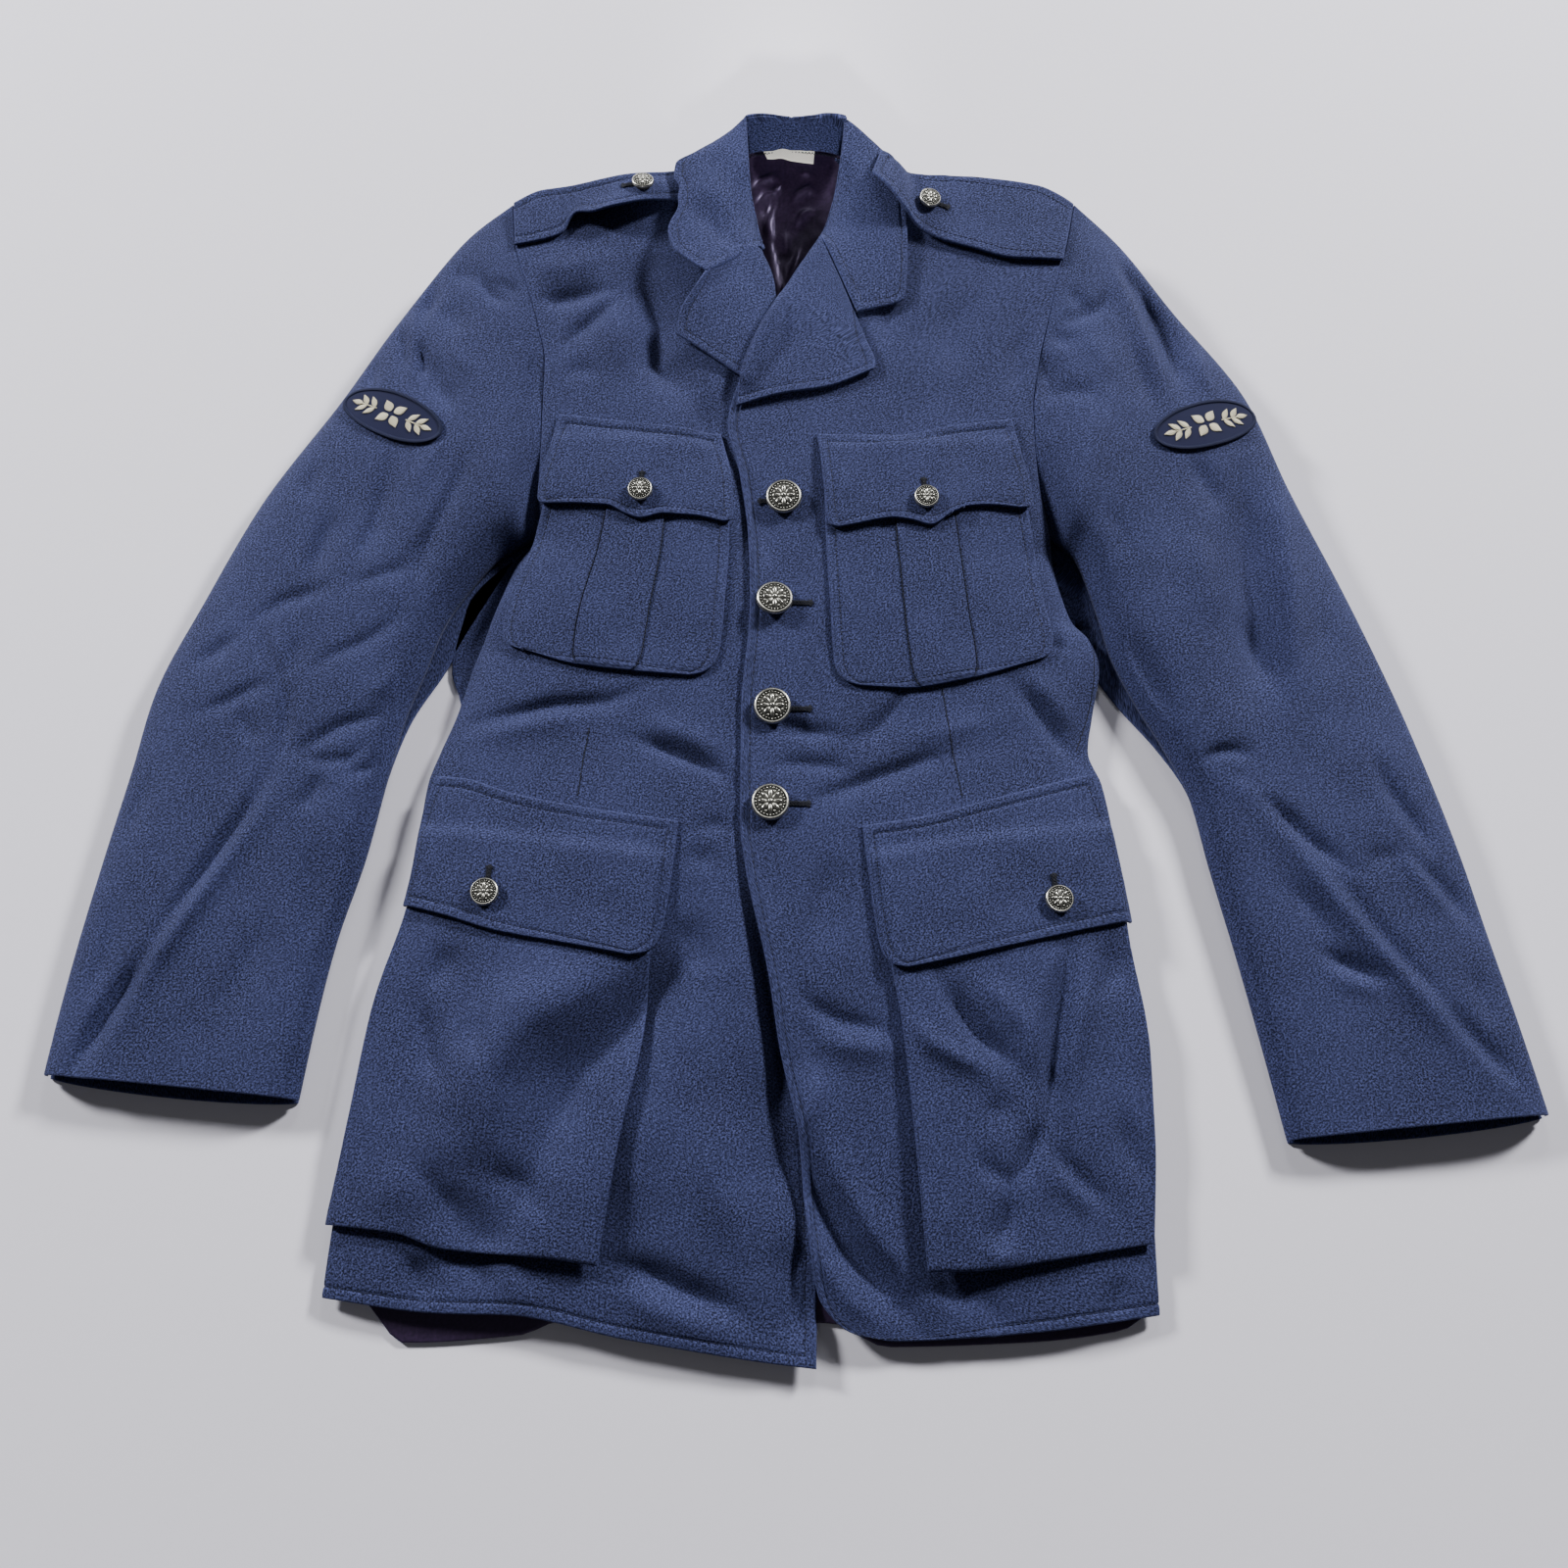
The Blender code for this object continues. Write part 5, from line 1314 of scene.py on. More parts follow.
@dataclass
class Finishes:
    """The materials that the jacket is made of."""

    wool: Material = made_from(WoolTwill())
    satin: Material = made_from(LiningSatin())
    pewter: Material = made_from(Pewter())
    topstitch: Material = made_from(Thread("blue sewing thread", "#0b0f22", "#171d3a"))
    buttonhole: Material = made_from(
        Thread("dark buttonhole silk", "#05070f", "#0f1326", roughness=0.7))
    navy: Material = made_from(Thread("navy embroidery wool", "#10142e", "#1d2345", roughness=0.8))
    cream: Material = made_from(
        Thread("cream embroidery silk", "#b9b196", "#ded8c2", roughness=0.55))
    navy_cloth: Material = made_from(Thread("navy badge felt", "#0d1029", "#171b3e", 0.7, 0.9))
    ribbon: Material = made_from(Thread("cream woven ribbon", "#f3eddd", "#fffdf6", 0.7))


@dataclass
class Body:
    """The back, the side bodies and the two fronts."""

    finishes: Finishes
    ground: Ground
    threads: Stitches
    seams: Stitches
    back_size: tuple = (440.0, 760.0)
    front_size: tuple = (195.0, 740.0)
    back_inset: float = 1.2
    placket: float = 2.7
    turn_up: float = 46.0
    underside: float = 1.9
    # below this height the back's upward faces turn to dark satin, as painted shade under the fronts' hem
    facing_y: float = -300.0
    pocket_give: float = 1.7
    sewn_to_y: float = 180.0

    def build(self) -> None:
        """Makes the body's panels in the order that they are laid."""
        back = Sheet("back_panel", self.back_places(), self.finishes.wool, ("back",),
                     wall=self.underside).build()
        # The back's upward faces near its hem take the dark lining satin as painted shade for the shadow
        # under the fronts' hem, where the real jacket has its wool hem facing.
        back.data.materials.append(self.finishes.satin)
        for face in back.data.polygons:
            if face.normal.z > 0.5 and face.center.y < self.facing_y * MM:
                face.material_index = 1
        for side, name in ((-1, "right"), (1, "left")):
            sheet = self.front(side, name)
            self.ground.lay(sheet.upper)
        for seam in SEAMS:
            x, y = along(seam, np.linspace(0, 1, 30)).T
            line = np.stack([x, y, self.ground.under(x, y, 0, 1.5) + 0.05], axis=-1)
            self.seams.run(line, np.tile([0.0, 0.0, 1.0], (len(line), 1)), 3.0, -0.3, 0.3, 0.0)

    def back_places(self) -> Array:
        """The back, flat on the surface and turned up at the shoulders and the neck.

        Returns:
            The grid of places on its upper face.
        """
        u = spaced(self.back_size[0], COARSE, False, False)[None, :]
        v = spaced(self.back_size[1], COARSE, False, False)[:, None]
        x = np.zeros((v.size, u.size))
        y = x.copy()
        for _ in range(6):
            right = body_at("right", y) + self.back_inset - read(UNDERARMS, 0, 1, y)
            left = body_at("left", y) - self.back_inset + read(UNDERARMS, 0, 2, y)
            x = right + (left - right) * u
            foot, head = read(BACK_HEM, 0, 1, x), read(BACK_TOP, 0, 1, x)
            y = foot + (head - foot) * v
        share = smooth_step((y - head + self.turn_up) / self.turn_up) ** 1.3
        creases = np.maximum(folds_at(BACK_CREASES, x, y), 0)
        return np.stack([x, y, read(BACK_TOP, 0, 2, x) * share + self.underside + creases], axis=-1)

    def front(self, side: int, name: str) -> Sheet:
        """One front with its side body, from the jacket's side and armhole to its stitched edge.

        Args:
            side: -1 for the right front, 1 for the left one.
            name: which front it is.

        Returns:
            The sheet.
        """
        edge, hem, shoulder = (
            (RIGHT_FRONT_EDGE, RIGHT_HEM, RIGHT_SHOULDER) if side < 0
            else (LEFT_FRONT_EDGE, LEFT_HEM, LEFT_SHOULDER)
        )
        u = spaced(self.front_size[0], STEP, False, True)[None, :]
        u = u + 0.06 * (u - 1) * u * (1 - u)
        v = spaced(self.front_size[1], STEP, True, False)[:, None]

        def across(y: Array) -> Array:
            """The x of each column at a height up the front."""
            outer = body_at(name, y)
            return outer + (read(edge, 1, 0, y) - outer) * u

        foot, head = np.full((1, u.size), -375.0), np.full((1, u.size), 350.0)
        for _ in range(5):
            foot, head = read(hem, 0, 1, across(foot)), read(shoulder, 0, 1, across(head))
        y = foot + (head - foot) * v
        x = across(y)
        height = body_height(x, y) + folds_at(UNDERLAP_FOLDS if side < 0 else OVERLAP_FOLDS, x, y)
        height = height + self.pocket_give * np.minimum(folds_at(POCKET_CREASES, x, y), 0)
        if side < 0:
            height = height - self.placket * smooth_step((x - read(LEFT_FRONT_EDGE, 1, 0, y) + 12) / 10)
            height = np.maximum(height, self.underside + WOOL_WALL + 0.6)
        places, front_edge = np.stack([x, y, height], axis=-1), Side.END
        if side > 0:
            places, front_edge = places[:, ::-1], Side.START
        sheet = Sheet("front_panel_" + name, places, self.finishes.wool,
                      ("front_" + name, "side_body_" + name), stitched=frozenset({front_edge, Side.BOTTOM}))
        sheet.build(("back_panel",))
        for stitched in (front_edge, Side.BOTTOM):
            line, normals = sheet.line_from(stitched, STITCH_INSET)
            keep = line[:, 1] < self.sewn_to_y
            self.threads.run(line[keep], normals[keep])
        return sheet


@dataclass
class Sleeves:
    """The two sleeves, each a topsleeve over an undersleeve."""

    finishes: Finishes
    ground: Ground
    size: tuple = (170.0, 560.0)
    underside: float = 1.9
    table_edge: float = 4.4
    shoulder_turn: float = 30.0
    under_inset: float = 0.012
    cuff_reach: float = 5.0
    towards_body: tuple = (4.0, 10.0, 16.0, 17.0, 12.0, 4.0)
    tuck: float = 2.4

    def build(self) -> None:
        """Makes both sleeves."""
        for side, name, cuffs in ((-1, "right", RIGHT_SLEEVE), (1, "left", LEFT_SLEEVE)):
            under = Sheet("undersleeve_panel_" + name, self.places(cuffs, side, False), self.finishes.wool,
                          ("undersleeve_" + name,), wall=self.underside)
            under.build()
            over = Sheet("topsleeve_panel_" + name, self.places(cuffs, side, True), self.finishes.wool,
                         ("topsleeve_" + name,), rounded=frozenset({Side.TOP, Side.BOTTOM}), fanned=True)
            over.build(("undersleeve_panel_" + name,))
            self.ground.lay(over.upper)

    def places(self, cuffs: tuple, side: int, over: bool) -> Array:
        """One layer of a sleeve, from its outer edge to its inner one and from the armhole to the cuff.

        Args:
            cuffs: the sleeve's sections.
            side: -1 for the right sleeve, 1 for the left one.
            over: whether it is the topsleeve.

        Returns:
            A grid of places on the layer's upper face.
        """
        u = spaced(self.size[0], STEP if over else COARSE, False, False)
        share = (0.6 * u + 0.2 * (1 - np.cos(math.pi * u))) if over else u
        if not over:
            share = self.under_inset + share * (1 - 2 * self.under_inset)
        y = SHOULDER_Y + (UNDERARM_Y - SHOULDER_Y) * share
        x = body_at("right" if side < 0 else "left", y) + side * 0.4
        rows = [np.column_stack([x, y, self.height(None, share, y, over)])]
        for cuff in cuffs:
            across = cuff.out_x + (cuff.in_x - cuff.out_x) * share
            up = cuff.out_y + (cuff.in_y - cuff.out_y) * share
            rows.append(np.column_stack([across, up, self.height(cuff, share, up, over)]))
        if not over:
            rows[-1][:, 1] -= self.cuff_reach * np.sin(math.pi * share) ** 0.5
            for row, reach in zip(rows[1:], self.towards_body):
                row[:, 0] -= side * reach * smooth_step((share - 0.6) / 0.4)
        rows = np.array(rows)
        v = spaced(self.size[1], STEP * 1.1 if over else COARSE, False, False)
        places = np.array([self.between(rows, at) for at in v * (len(rows) - 1)])
        tuck = places[:1] + np.array([-side * self.tuck, 0.0, -self.tuck if over else 0.0])
        if over:
            fade = smooth_step(np.minimum(share, 1 - share) / 0.1)
            x, y = places[..., 0], places[..., 1]
            folds = folds_at(SLEEVE_FOLDS, x, y) + 1.5 * drape(x, y, 11)
            places[..., 2] += folds * fade
            places[..., 2] = np.maximum(places[..., 2], WOOL_WALL + 2.4)
            places = np.concatenate([tuck, places])
        else:
            places[..., 2] = np.maximum(places[..., 2], 0) + self.underside
        return places[:, ::-1] if side < 0 else places

    def height(self, cuff: Cuff | None, share: Array, y: Array, over: bool) -> Array:
        """The height of a layer across one section.

        Args:
            cuff: the section, or nothing at the armhole.
            share: shares from its outer edge.
            y: places up, in mm.
            over: whether it is the topsleeve.

        Returns:
            The height of the layer's upper face.
        """
        if over and cuff is None:
            return body_at("edge", y)
        if over:
            edge = cuff.out_z + (cuff.in_z - cuff.out_z) * share
            return edge + (cuff.crown - edge) * flat_top(2 * share - 1)
        edge = self.shoulder_turn if cuff is None else max(cuff.out_z - self.table_edge, 0.0)
        return edge * np.clip(1 - share / 0.3, 0, 1) ** 2

    @staticmethod
    def between(rows: Array, at: float) -> Array:
        """A smooth curve through rows of places, at one row number.

        Args:
            rows: the rows of places.
            at: the row number, whole or between two.

        Returns:
            The row of places there.
        """
        last = len(rows) - 1
        i = min(int(at), last - 1)
        t = at - i
        before, start, end, after = rows[max(i - 1, 0)], rows[i], rows[i + 1], rows[min(i + 2, last)]
        first, second = (end - before) / 2, (after - start) / 2
        return (start * (2 * t**3 - 3 * t**2 + 1) + end * (3 * t**2 - 2 * t**3)
                + first * (t**3 - 2 * t**2 + t) + second * (t**3 - t**2))


@dataclass
class Laying:
    """Places patches of cloth on what is laid so far, one over another."""

    finishes: Finishes
    ground: Ground
    threads: Stitches
    # dark threads that paint the shadow beside the pockets' pleats: painted shadow
    shades: Stitches

    def lay(self, name: str, patch: Patch, node: str, rests_on: str, stitched: frozenset, lift: Callable,
            columns: tuple = (), reach: int = 3) -> Sheet:
        """Lays one patch, sews round it and adds it to the ground.

        Args:
            name: the piece's name.
            patch: its four edges.
            node: the node that it stands for.
            rests_on: the piece that it lies on.
            stitched: the sides that have a stitched edge.
            lift: gives the height above what it lies on, from the shares and places.
            columns: further shares across, where a fold needs them.
            reach: how far round each place it looks for what it clears.

        Returns:
            The sheet that was laid.
        """
        width, length = (lengths(np.array(edge, float))[-1] for edge in (patch.bottom, patch.start))
        u = spaced(width, STEP, Side.START in stitched, Side.END in stitched)
        if columns:
            clear = np.min(np.abs(u[:, None] - np.array(columns)), axis=1) > 0.4 / width
            u = np.sort(np.concatenate([u[clear], columns]))
        u, v = np.meshgrid(u, spaced(length, STEP, Side.BOTTOM in stitched, Side.TOP in stitched))
        flat = patch_places(patch, u, v)
        x, y = flat[..., 0], flat[..., 1]
        height = self.ground.under(x, y, reach) + GAP + WOOL_WALL
        height = height + 0.35 * ripple(x, y, 26, 21) + 0.1 * ripple(x, y, 9, 22) + lift(u, v, x, y)
        sheet = Sheet(name, np.dstack([flat, height]), self.finishes.wool, (node,), stitched=stitched)
        sheet.build((rests_on,))
        for side in Side:
            if side in stitched:
                self.threads.run(*sheet.line_from(side, STITCH_INSET))
        self.ground.lay(sheet.upper)
        return sheet


def edge_distance(u: Array, x: Array, y: Array, axis: int) -> tuple[Array, Array]:
    """Distances in mm from the two ends of each row or column of a grid of places.

    Args:
        u: the grid's shares, for its shape.
        x: places across, in mm.
        y: places up, in mm.
        axis: 1 to measure along the rows, 0 along the columns.

    Returns:
        The distances from the start and the end.
    """
    gaps = np.hypot(np.diff(x, axis=axis), np.diff(y, axis=axis))
    first = np.zeros(u.shape)
    if axis == 1:
        first[:, 1:] = np.cumsum(gaps, axis=1)
        return first, first[:, -1:] - first
    first[1:] = np.cumsum(gaps, axis=0)
    return first, first[-1:] - first


def rolled(distance: Array, radius: float) -> Array:
    """The height of a fold that rises in a quarter round from its edge, from 0 to 1."""
    return np.sqrt(1 - (1 - np.clip(distance / radius, 0, 1)) ** 2)


def fold_rise(distance: Array) -> Array:
    """How far a lapel or leaf stands off the front beside its fold line: rolled, then settling."""
    return rolled(distance, 6.0) * (1.0 + 4.0 * np.exp(-distance / 24))


def edge_lift(share: Array) -> Array:
    """How far the right lapel and leaf curl up towards their outer edge."""
    return 8.5 * np.clip(share, 0, 1) ** 1.7


@dataclass
class Lapels:
    """The two lapels, folded out from the fronts."""

    laying: Laying

    def build(self) -> None:
        """Lays the right lapel, whose edge stands well off the cloth, and then the left one."""
        for name, patch, outer, lift in (("right", RIGHT_LAPEL, Side.START, self.right),
                                         ("left", LEFT_LAPEL, Side.END, self.left)):
            self.laying.lay("lapel_leaf_" + name, patch, "lapel_" + name, "front_panel_" + name,
                            frozenset({outer, Side.BOTTOM}), lift)

    def right(self, u: Array, v: Array, x: Array, y: Array) -> Array:
        """The right lapel: rolled at its fold, and lifted at its outer edge.

        Args:
            u: shares across.
            v: shares up.
            x: places across, in mm.
            y: places up, in mm.

        Returns:
            The height above what it lies on, in mm.
        """
        _, from_fold = edge_distance(u, x, y, 1)
        curl = edge_lift(1 - u) * (0.55 + 0.45 * v)
        return fold_rise(from_fold) * (0.3 + 0.7 * smooth_step(v / 0.6)) + curl

    def left(self, u: Array, v: Array, x: Array, y: Array) -> Array:
        """The left lapel: rolled at its fold, nearly flat elsewhere, with its lower edge a little up.

        Args:
            u: shares across.
            v: shares up.
            x: places across, in mm.
            y: places up, in mm.

        Returns:
            The height above what it lies on, in mm.
        """
        from_fold, _ = edge_distance(u, x, y, 1)
        lower = 1.8 * (1 - v) ** 3 * smooth_step(u / 0.3)
        return fold_rise(from_fold) * (0.15 + 0.85 * smooth_step(v / 0.6)) + lower


@dataclass
class Neck:
    """The lining, the label, the stand and the two leaves of the collar."""

    finishes: Finishes
    ground: Ground
    threads: Stitches
    seams: Stitches
    bow: float = 3.0
    folds: list = field(default_factory=list)

    def build_inside(self) -> None:
        """Makes the lining and the label, which everything else lies on."""
        u = spaced(76, 1.6, False, False)[None, :]
        v = spaced(150, 1.6, False, False)[:, None]
        y = 240 + (395.0 - 240) * v + np.zeros_like(u)
        right, left = read(NECK_LINING, 0, 1, y), read(NECK_LINING, 0, 2, y)
        x = right + (left - right) * u
        height = read(NECK_LINING, 0, 3, y) + self.wrinkles(x, y)
        lining = Sheet("back_lining", np.stack([x, y, height], axis=-1), self.finishes.satin,
                       ("neck_lining",), wall=LINING_WALL, round_off=0.4, slot="satin")
        lining.build(("back_panel",))
        self.ground.lay(lining.upper)
        u, v = np.meshgrid(spaced(32, 1.5, False, False), spaced(7, 0.9, False, False))
        flat = patch_places(LABEL, u, v)
        x, y = flat[..., 0], flat[..., 1]
        height = self.ground.under(x, y, 1, 1.5) + 1.0 + 0.4 * np.sin(5 * u) * (1 - v)
        Sheet("neck_tag", np.dstack([flat, height]), self.finishes.ribbon, ("neck_label",), wall=0.5,
              round_off=0.25, slot="cream").build(("back_lining",))

    @staticmethod
    def wrinkles(x: Array, y: Array) -> Array:
        """The soft creases of loose satin, a pleat down the middle and the seam beside it.

        Args:
            x: places across, in mm.
            y: places up, in mm.

        Returns:
            The height that they add, in mm.
        """
        middle = read(LINING_SEAM, 1, 0, y)
        pleat = 1.6 * np.exp(-(((x - middle + 4) / 3.2) ** 2)) - 1.3 * np.exp(-(((x - middle) / 0.9) ** 2))
        return folds_at(LINING_CREASES, x, y) + pleat + 0.3 * ripple(x, y, 11, 31) + 0.2 * ripple(x, y, 5, 32)

    @staticmethod
    def stations(rows: tuple, count: int, column: int = 0) -> Array:
        """Places along one line of the collar's table, evenly spaced, by the line's first column.

        Args:
            rows: the table's rows.
            count: how many places.
            column: the line's first column, the fold line's unless given.

        Returns:
            The places.
        """
        table = np.array(rows, float)[:, column:column + 3]
        run = lengths(table)
        at = np.linspace(0, run[-1], count)
        return np.stack([follow(run, table[:, k], at) for k in range(3)], axis=-1)

    def build_stand(self) -> None:
        """The stand, which rises from the neck seam to the fold line, in one piece round the neck."""
        rows = RIGHT_COLLAR[::-1] + LEFT_COLLAR[1:]
        foot, roll = self.stations(rows, 90, FOOT), self.stations(rows, 90)
        fold = np.concatenate(self.folds)
        nearest = np.argmin(np.hypot(roll[:, None, 0] - fold[:, 0], roll[:, None, 1] - fold[:, 1]), axis=1)
        roll[:, 2] = fold[nearest, 2] - 1.6
        foot[:, 2] = np.minimum(foot[:, 2], roll[:, 2] - 2.5)
        inward = foot - roll
        inward[:, 2] = 0
        roll = roll + inward * 0.1
        v = spaced(24, 2.0, False, False)[:, None, None]
        places = foot[None] * (1 - v) + roll[None] * v
        sheet = Sheet("collar_band", places[:, ::-1], self.finishes.wool, ("collar_stand",), wall=-1.6,
                      rounded=frozenset({Side.TOP}))
        sheet.build(("back_panel",))
        middle = int(np.argmin(np.abs(foot[:, 0] + 1)))
        edge = sheet.places[1, ::-1][middle - 16:middle + 17] - np.array([0.0, 1.2, 0.4])
        line = at_lengths(edge, np.arange(len(edge)), np.linspace(0, len(edge) - 1, 74))
        line[::2, 1] -= 1.3
        line[::2, 2] -= 1.0
        for start, end in zip(line, line[1:]):
            self.seams.add((start + end) / 2, end - start, np.array([0.0, -0.7, 0.7]), 2.0, 0.3)

    def build_leaf(self, rows: tuple, side: int, name: str) -> Sheet:
        """One half of the collar's fall, hooked over the stand and laid on the shoulder.

        Args:
            rows: the collar's table for that half.
            side: -1 for the right half, 1 for the left one.
            name: which half it is.

        Returns:
            The sheet.
        """
        count = 110
        roll = self.stations(rows, count)
        out = self.stations(RIGHT_LEAF_EDGE, count) if side < 0 else self.stations(rows, count, OUT)
        width = np.linalg.norm(out - roll, axis=1).mean()
        u = spaced(width, STEP * 0.8, False, True)[None, :, None]
        places = roll[:, None] * (1 - u) + out[:, None] * u
        places[..., 2] += self.bow * np.sin(math.pi * u[..., 0]) + 0.6
        x, y = places[..., 0], places[..., 1]
        floor = self.ground.under(x, y, 4, 4.0) + GAP + WOOL_WALL
        share = smooth_step(u[..., 0] / 0.25)
        hung = np.maximum(places[..., 2], floor * share + places[..., 2] * (1 - share))
        from_fold, _ = edge_distance(places[..., 0], x, y, 1)
        laid = floor + fold_rise(from_fold) + (edge_lift(u[..., 0]) if side < 0 else 0.4 * u[..., 0])
        near = smooth_step((np.linspace(0, 1, count)[:, None] - 0.5) / 0.42)
        places[..., 2] = hung * (1 - near) + laid * near + 0.3 * ripple(x, y, 18, 41)
        for _ in range(26):
            places[1:-1, 1:-1, 2] = (places[:-2, 1:-1, 2] + places[2:, 1:-1, 2] + places[1:-1, :-2, 2]
                                     + places[1:-1, 2:, 2]) / 4
        places[..., 2] += folds_at(LEAF_CREASES, x, y)
        self.folds.append(places[:, 0].copy())
        places = np.concatenate([self.hook(places), places], axis=1)
        if side > 0:
            places = places[::-1]
        stitched = (Side.END, Side.TOP if side < 0 else Side.BOTTOM)
        sheet = Sheet("collar_leaf_" + name, places, self.finishes.wool, ("collar_fall_" + name,),
                      stitched=frozenset(stitched), fanned=True)
        sheet.build(("front_panel_" + name,))
        for edge in stitched:
            self.threads.run(*sheet.line_from(edge, STITCH_INSET))
        return sheet

    @staticmethod
    def hook(places: Array) -> Array:
        """Rows that turn over the fold line and down inside the neck.

        Args:
            places: the leaf's grid of places, from the fold line.

        Returns:
            The rows that come before it.
        """
        roll, next_row = places[:, 0], places[:, 1]
        outward = next_row - roll
        outward[:, 2] = 0
        outward /= np.maximum(np.linalg.norm(outward, axis=1, keepdims=True), 1e-9)
        rows = []
        for turn in (1.0, 0.72, 0.46, 0.22):
            angle = turn * math.pi * 0.62
            back, down = 1.9 * math.sin(angle), 1.9 * (1 - math.cos(angle))
            row = roll - outward * back
            row[:, 2] -= down
            rows.append(row)
        return np.stack(rows, axis=1)


@dataclass
class ShoulderStraps:
    """The straps on the shoulders, sewn in at the armhole and buttoned by the collar."""

    laying: Laying
    bowed: float = 8.5
    hollow: float = 6.5

    def build_right(self) -> None:
        """Lays the right strap, which goes under the collar and bows up off the shoulder."""
        self.laying.lay("strap_right", RIGHT_STRAP, "shoulder_strap_right", "front_panel_right",
                        frozenset({Side.BOTTOM, Side.TOP}), self.right)

    def build_left(self) -> None:
        """Lays the left strap, whose end lies on the collar's leaf."""
        self.laying.lay("strap_left", LEFT_STRAP, "shoulder_strap_left", "front_panel_left",
                        frozenset({Side.BOTTOM, Side.TOP, Side.START}), self.left)

    def right(self, u: Array, v: Array, x: Array, y: Array) -> Array:
        """The bow of the right strap, more at its lower edge."""
        share = np.sin(math.pi * np.clip((u - 0.25) / 0.8, 0, 1)) ** 2
        return self.bowed * share * (1 - 0.3 * v) + 0.4 + 4.0 * (1 - v) ** 2 * share

    def left(self, u: Array, v: Array, x: Array, y: Array) -> Array:
        """The hollow under the left strap beside the leaf, closing along its lower edge."""
        beside_leaf = self.hollow * np.exp(-(((u - 0.10) / 0.16) ** 2)) * (1 - v)
        return beside_leaf + 3.0 * (1 - v) ** 2 * (1 - 0.7 * u)


@dataclass
class ChestPockets:
    """Patch pockets with a box pleat, each under a pointed flap."""

    laying: Laying
    pleat_rise: float = 1.3

    def build(self) -> None:
        """Lays both pockets and their flaps."""
        # pleat gives the shares of the pleat's two folds; deep gives the radii of the dark threads that paint
        # the shadow beside them
        sides = (
            ("right", RIGHT_CHEST_POCKET, RIGHT_CHEST_FLAP, (0.35, 0.656), (0.35, 0.6)),
            ("left", LEFT_CHEST_POCKET, LEFT_CHEST_FLAP, (0.345, 0.63), (0.7, 0.35)),
        )
        for name, pocket, flap, pleat, deep in sides:
            edges = tuple(share + off for share in pleat for off in (-0.006, -0.002, 0.002, 0.006))
            pouch = self.laying.lay("chest_pouch_" + name, pocket, "chest_pocket_" + name,
                                    "front_panel_" + name, ALL_SIDES - {Side.TOP}, self.pleated(pleat), edges)
            for share, radius, off in zip(pleat, deep, (-0.008, 0.008)):
                self.crease(pouch, share + off, radius)
            self.laying.lay("chest_flap_cover_" + name, flap, "chest_flap_" + name, "chest_pouch_" + name,
                            ALL_SIDES, self.flap)

    def crease(self, sheet: Sheet, share: float, radius: float) -> None:
        """Paints the shadow beside a pleat's fold as a dark thread, from the lower edge up.

        Args:
            sheet: the pocket.
            share: the fold's share of its width.
            radius: the thread's radius in mm.
        """
        across, _ = runs(sheet.places)
        i = int(np.argmin(np.abs(across[len(across) // 2] / across[len(across) // 2, -1] - share)))
        keep = sheet.distances()[Side.BOTTOM][:, i] > 1.0
        self.laying.shades.run(sheet.upper[keep, i], sheet.normals[keep, i], 3.0, -0.3, radius, -0.05)

    def pleated(self, pleat: tuple) -> Callable:
        """Gives the lift of a pocket with its box pleat between two shares of its width.

        Args:
            pleat: the two shares.

        Returns:
            The lift, for Laying.lay.
        """

        def lift(u: Array, v: Array, x: Array, y: Array) -> Array:
            """The pleat's middle lies on its two folds."""
            inside = smooth_step((u - pleat[0] + 0.002) / 0.004) * smooth_step((pleat[1] + 0.002 - u) / 0.004)
            return self.pleat_rise * inside * (1 - 0.5 * smooth_step((0.06 - v) / 0.05))

        return lift

    @staticmethod
    def flap(u: Array, v: Array, x: Array, y: Array) -> Array:
        """The flap's lower edge stands a little off the pocket, unevenly."""
        return 0.9 * (1 - v) ** 2 * (0.6 + 0.4 * np.sin(7 * u))


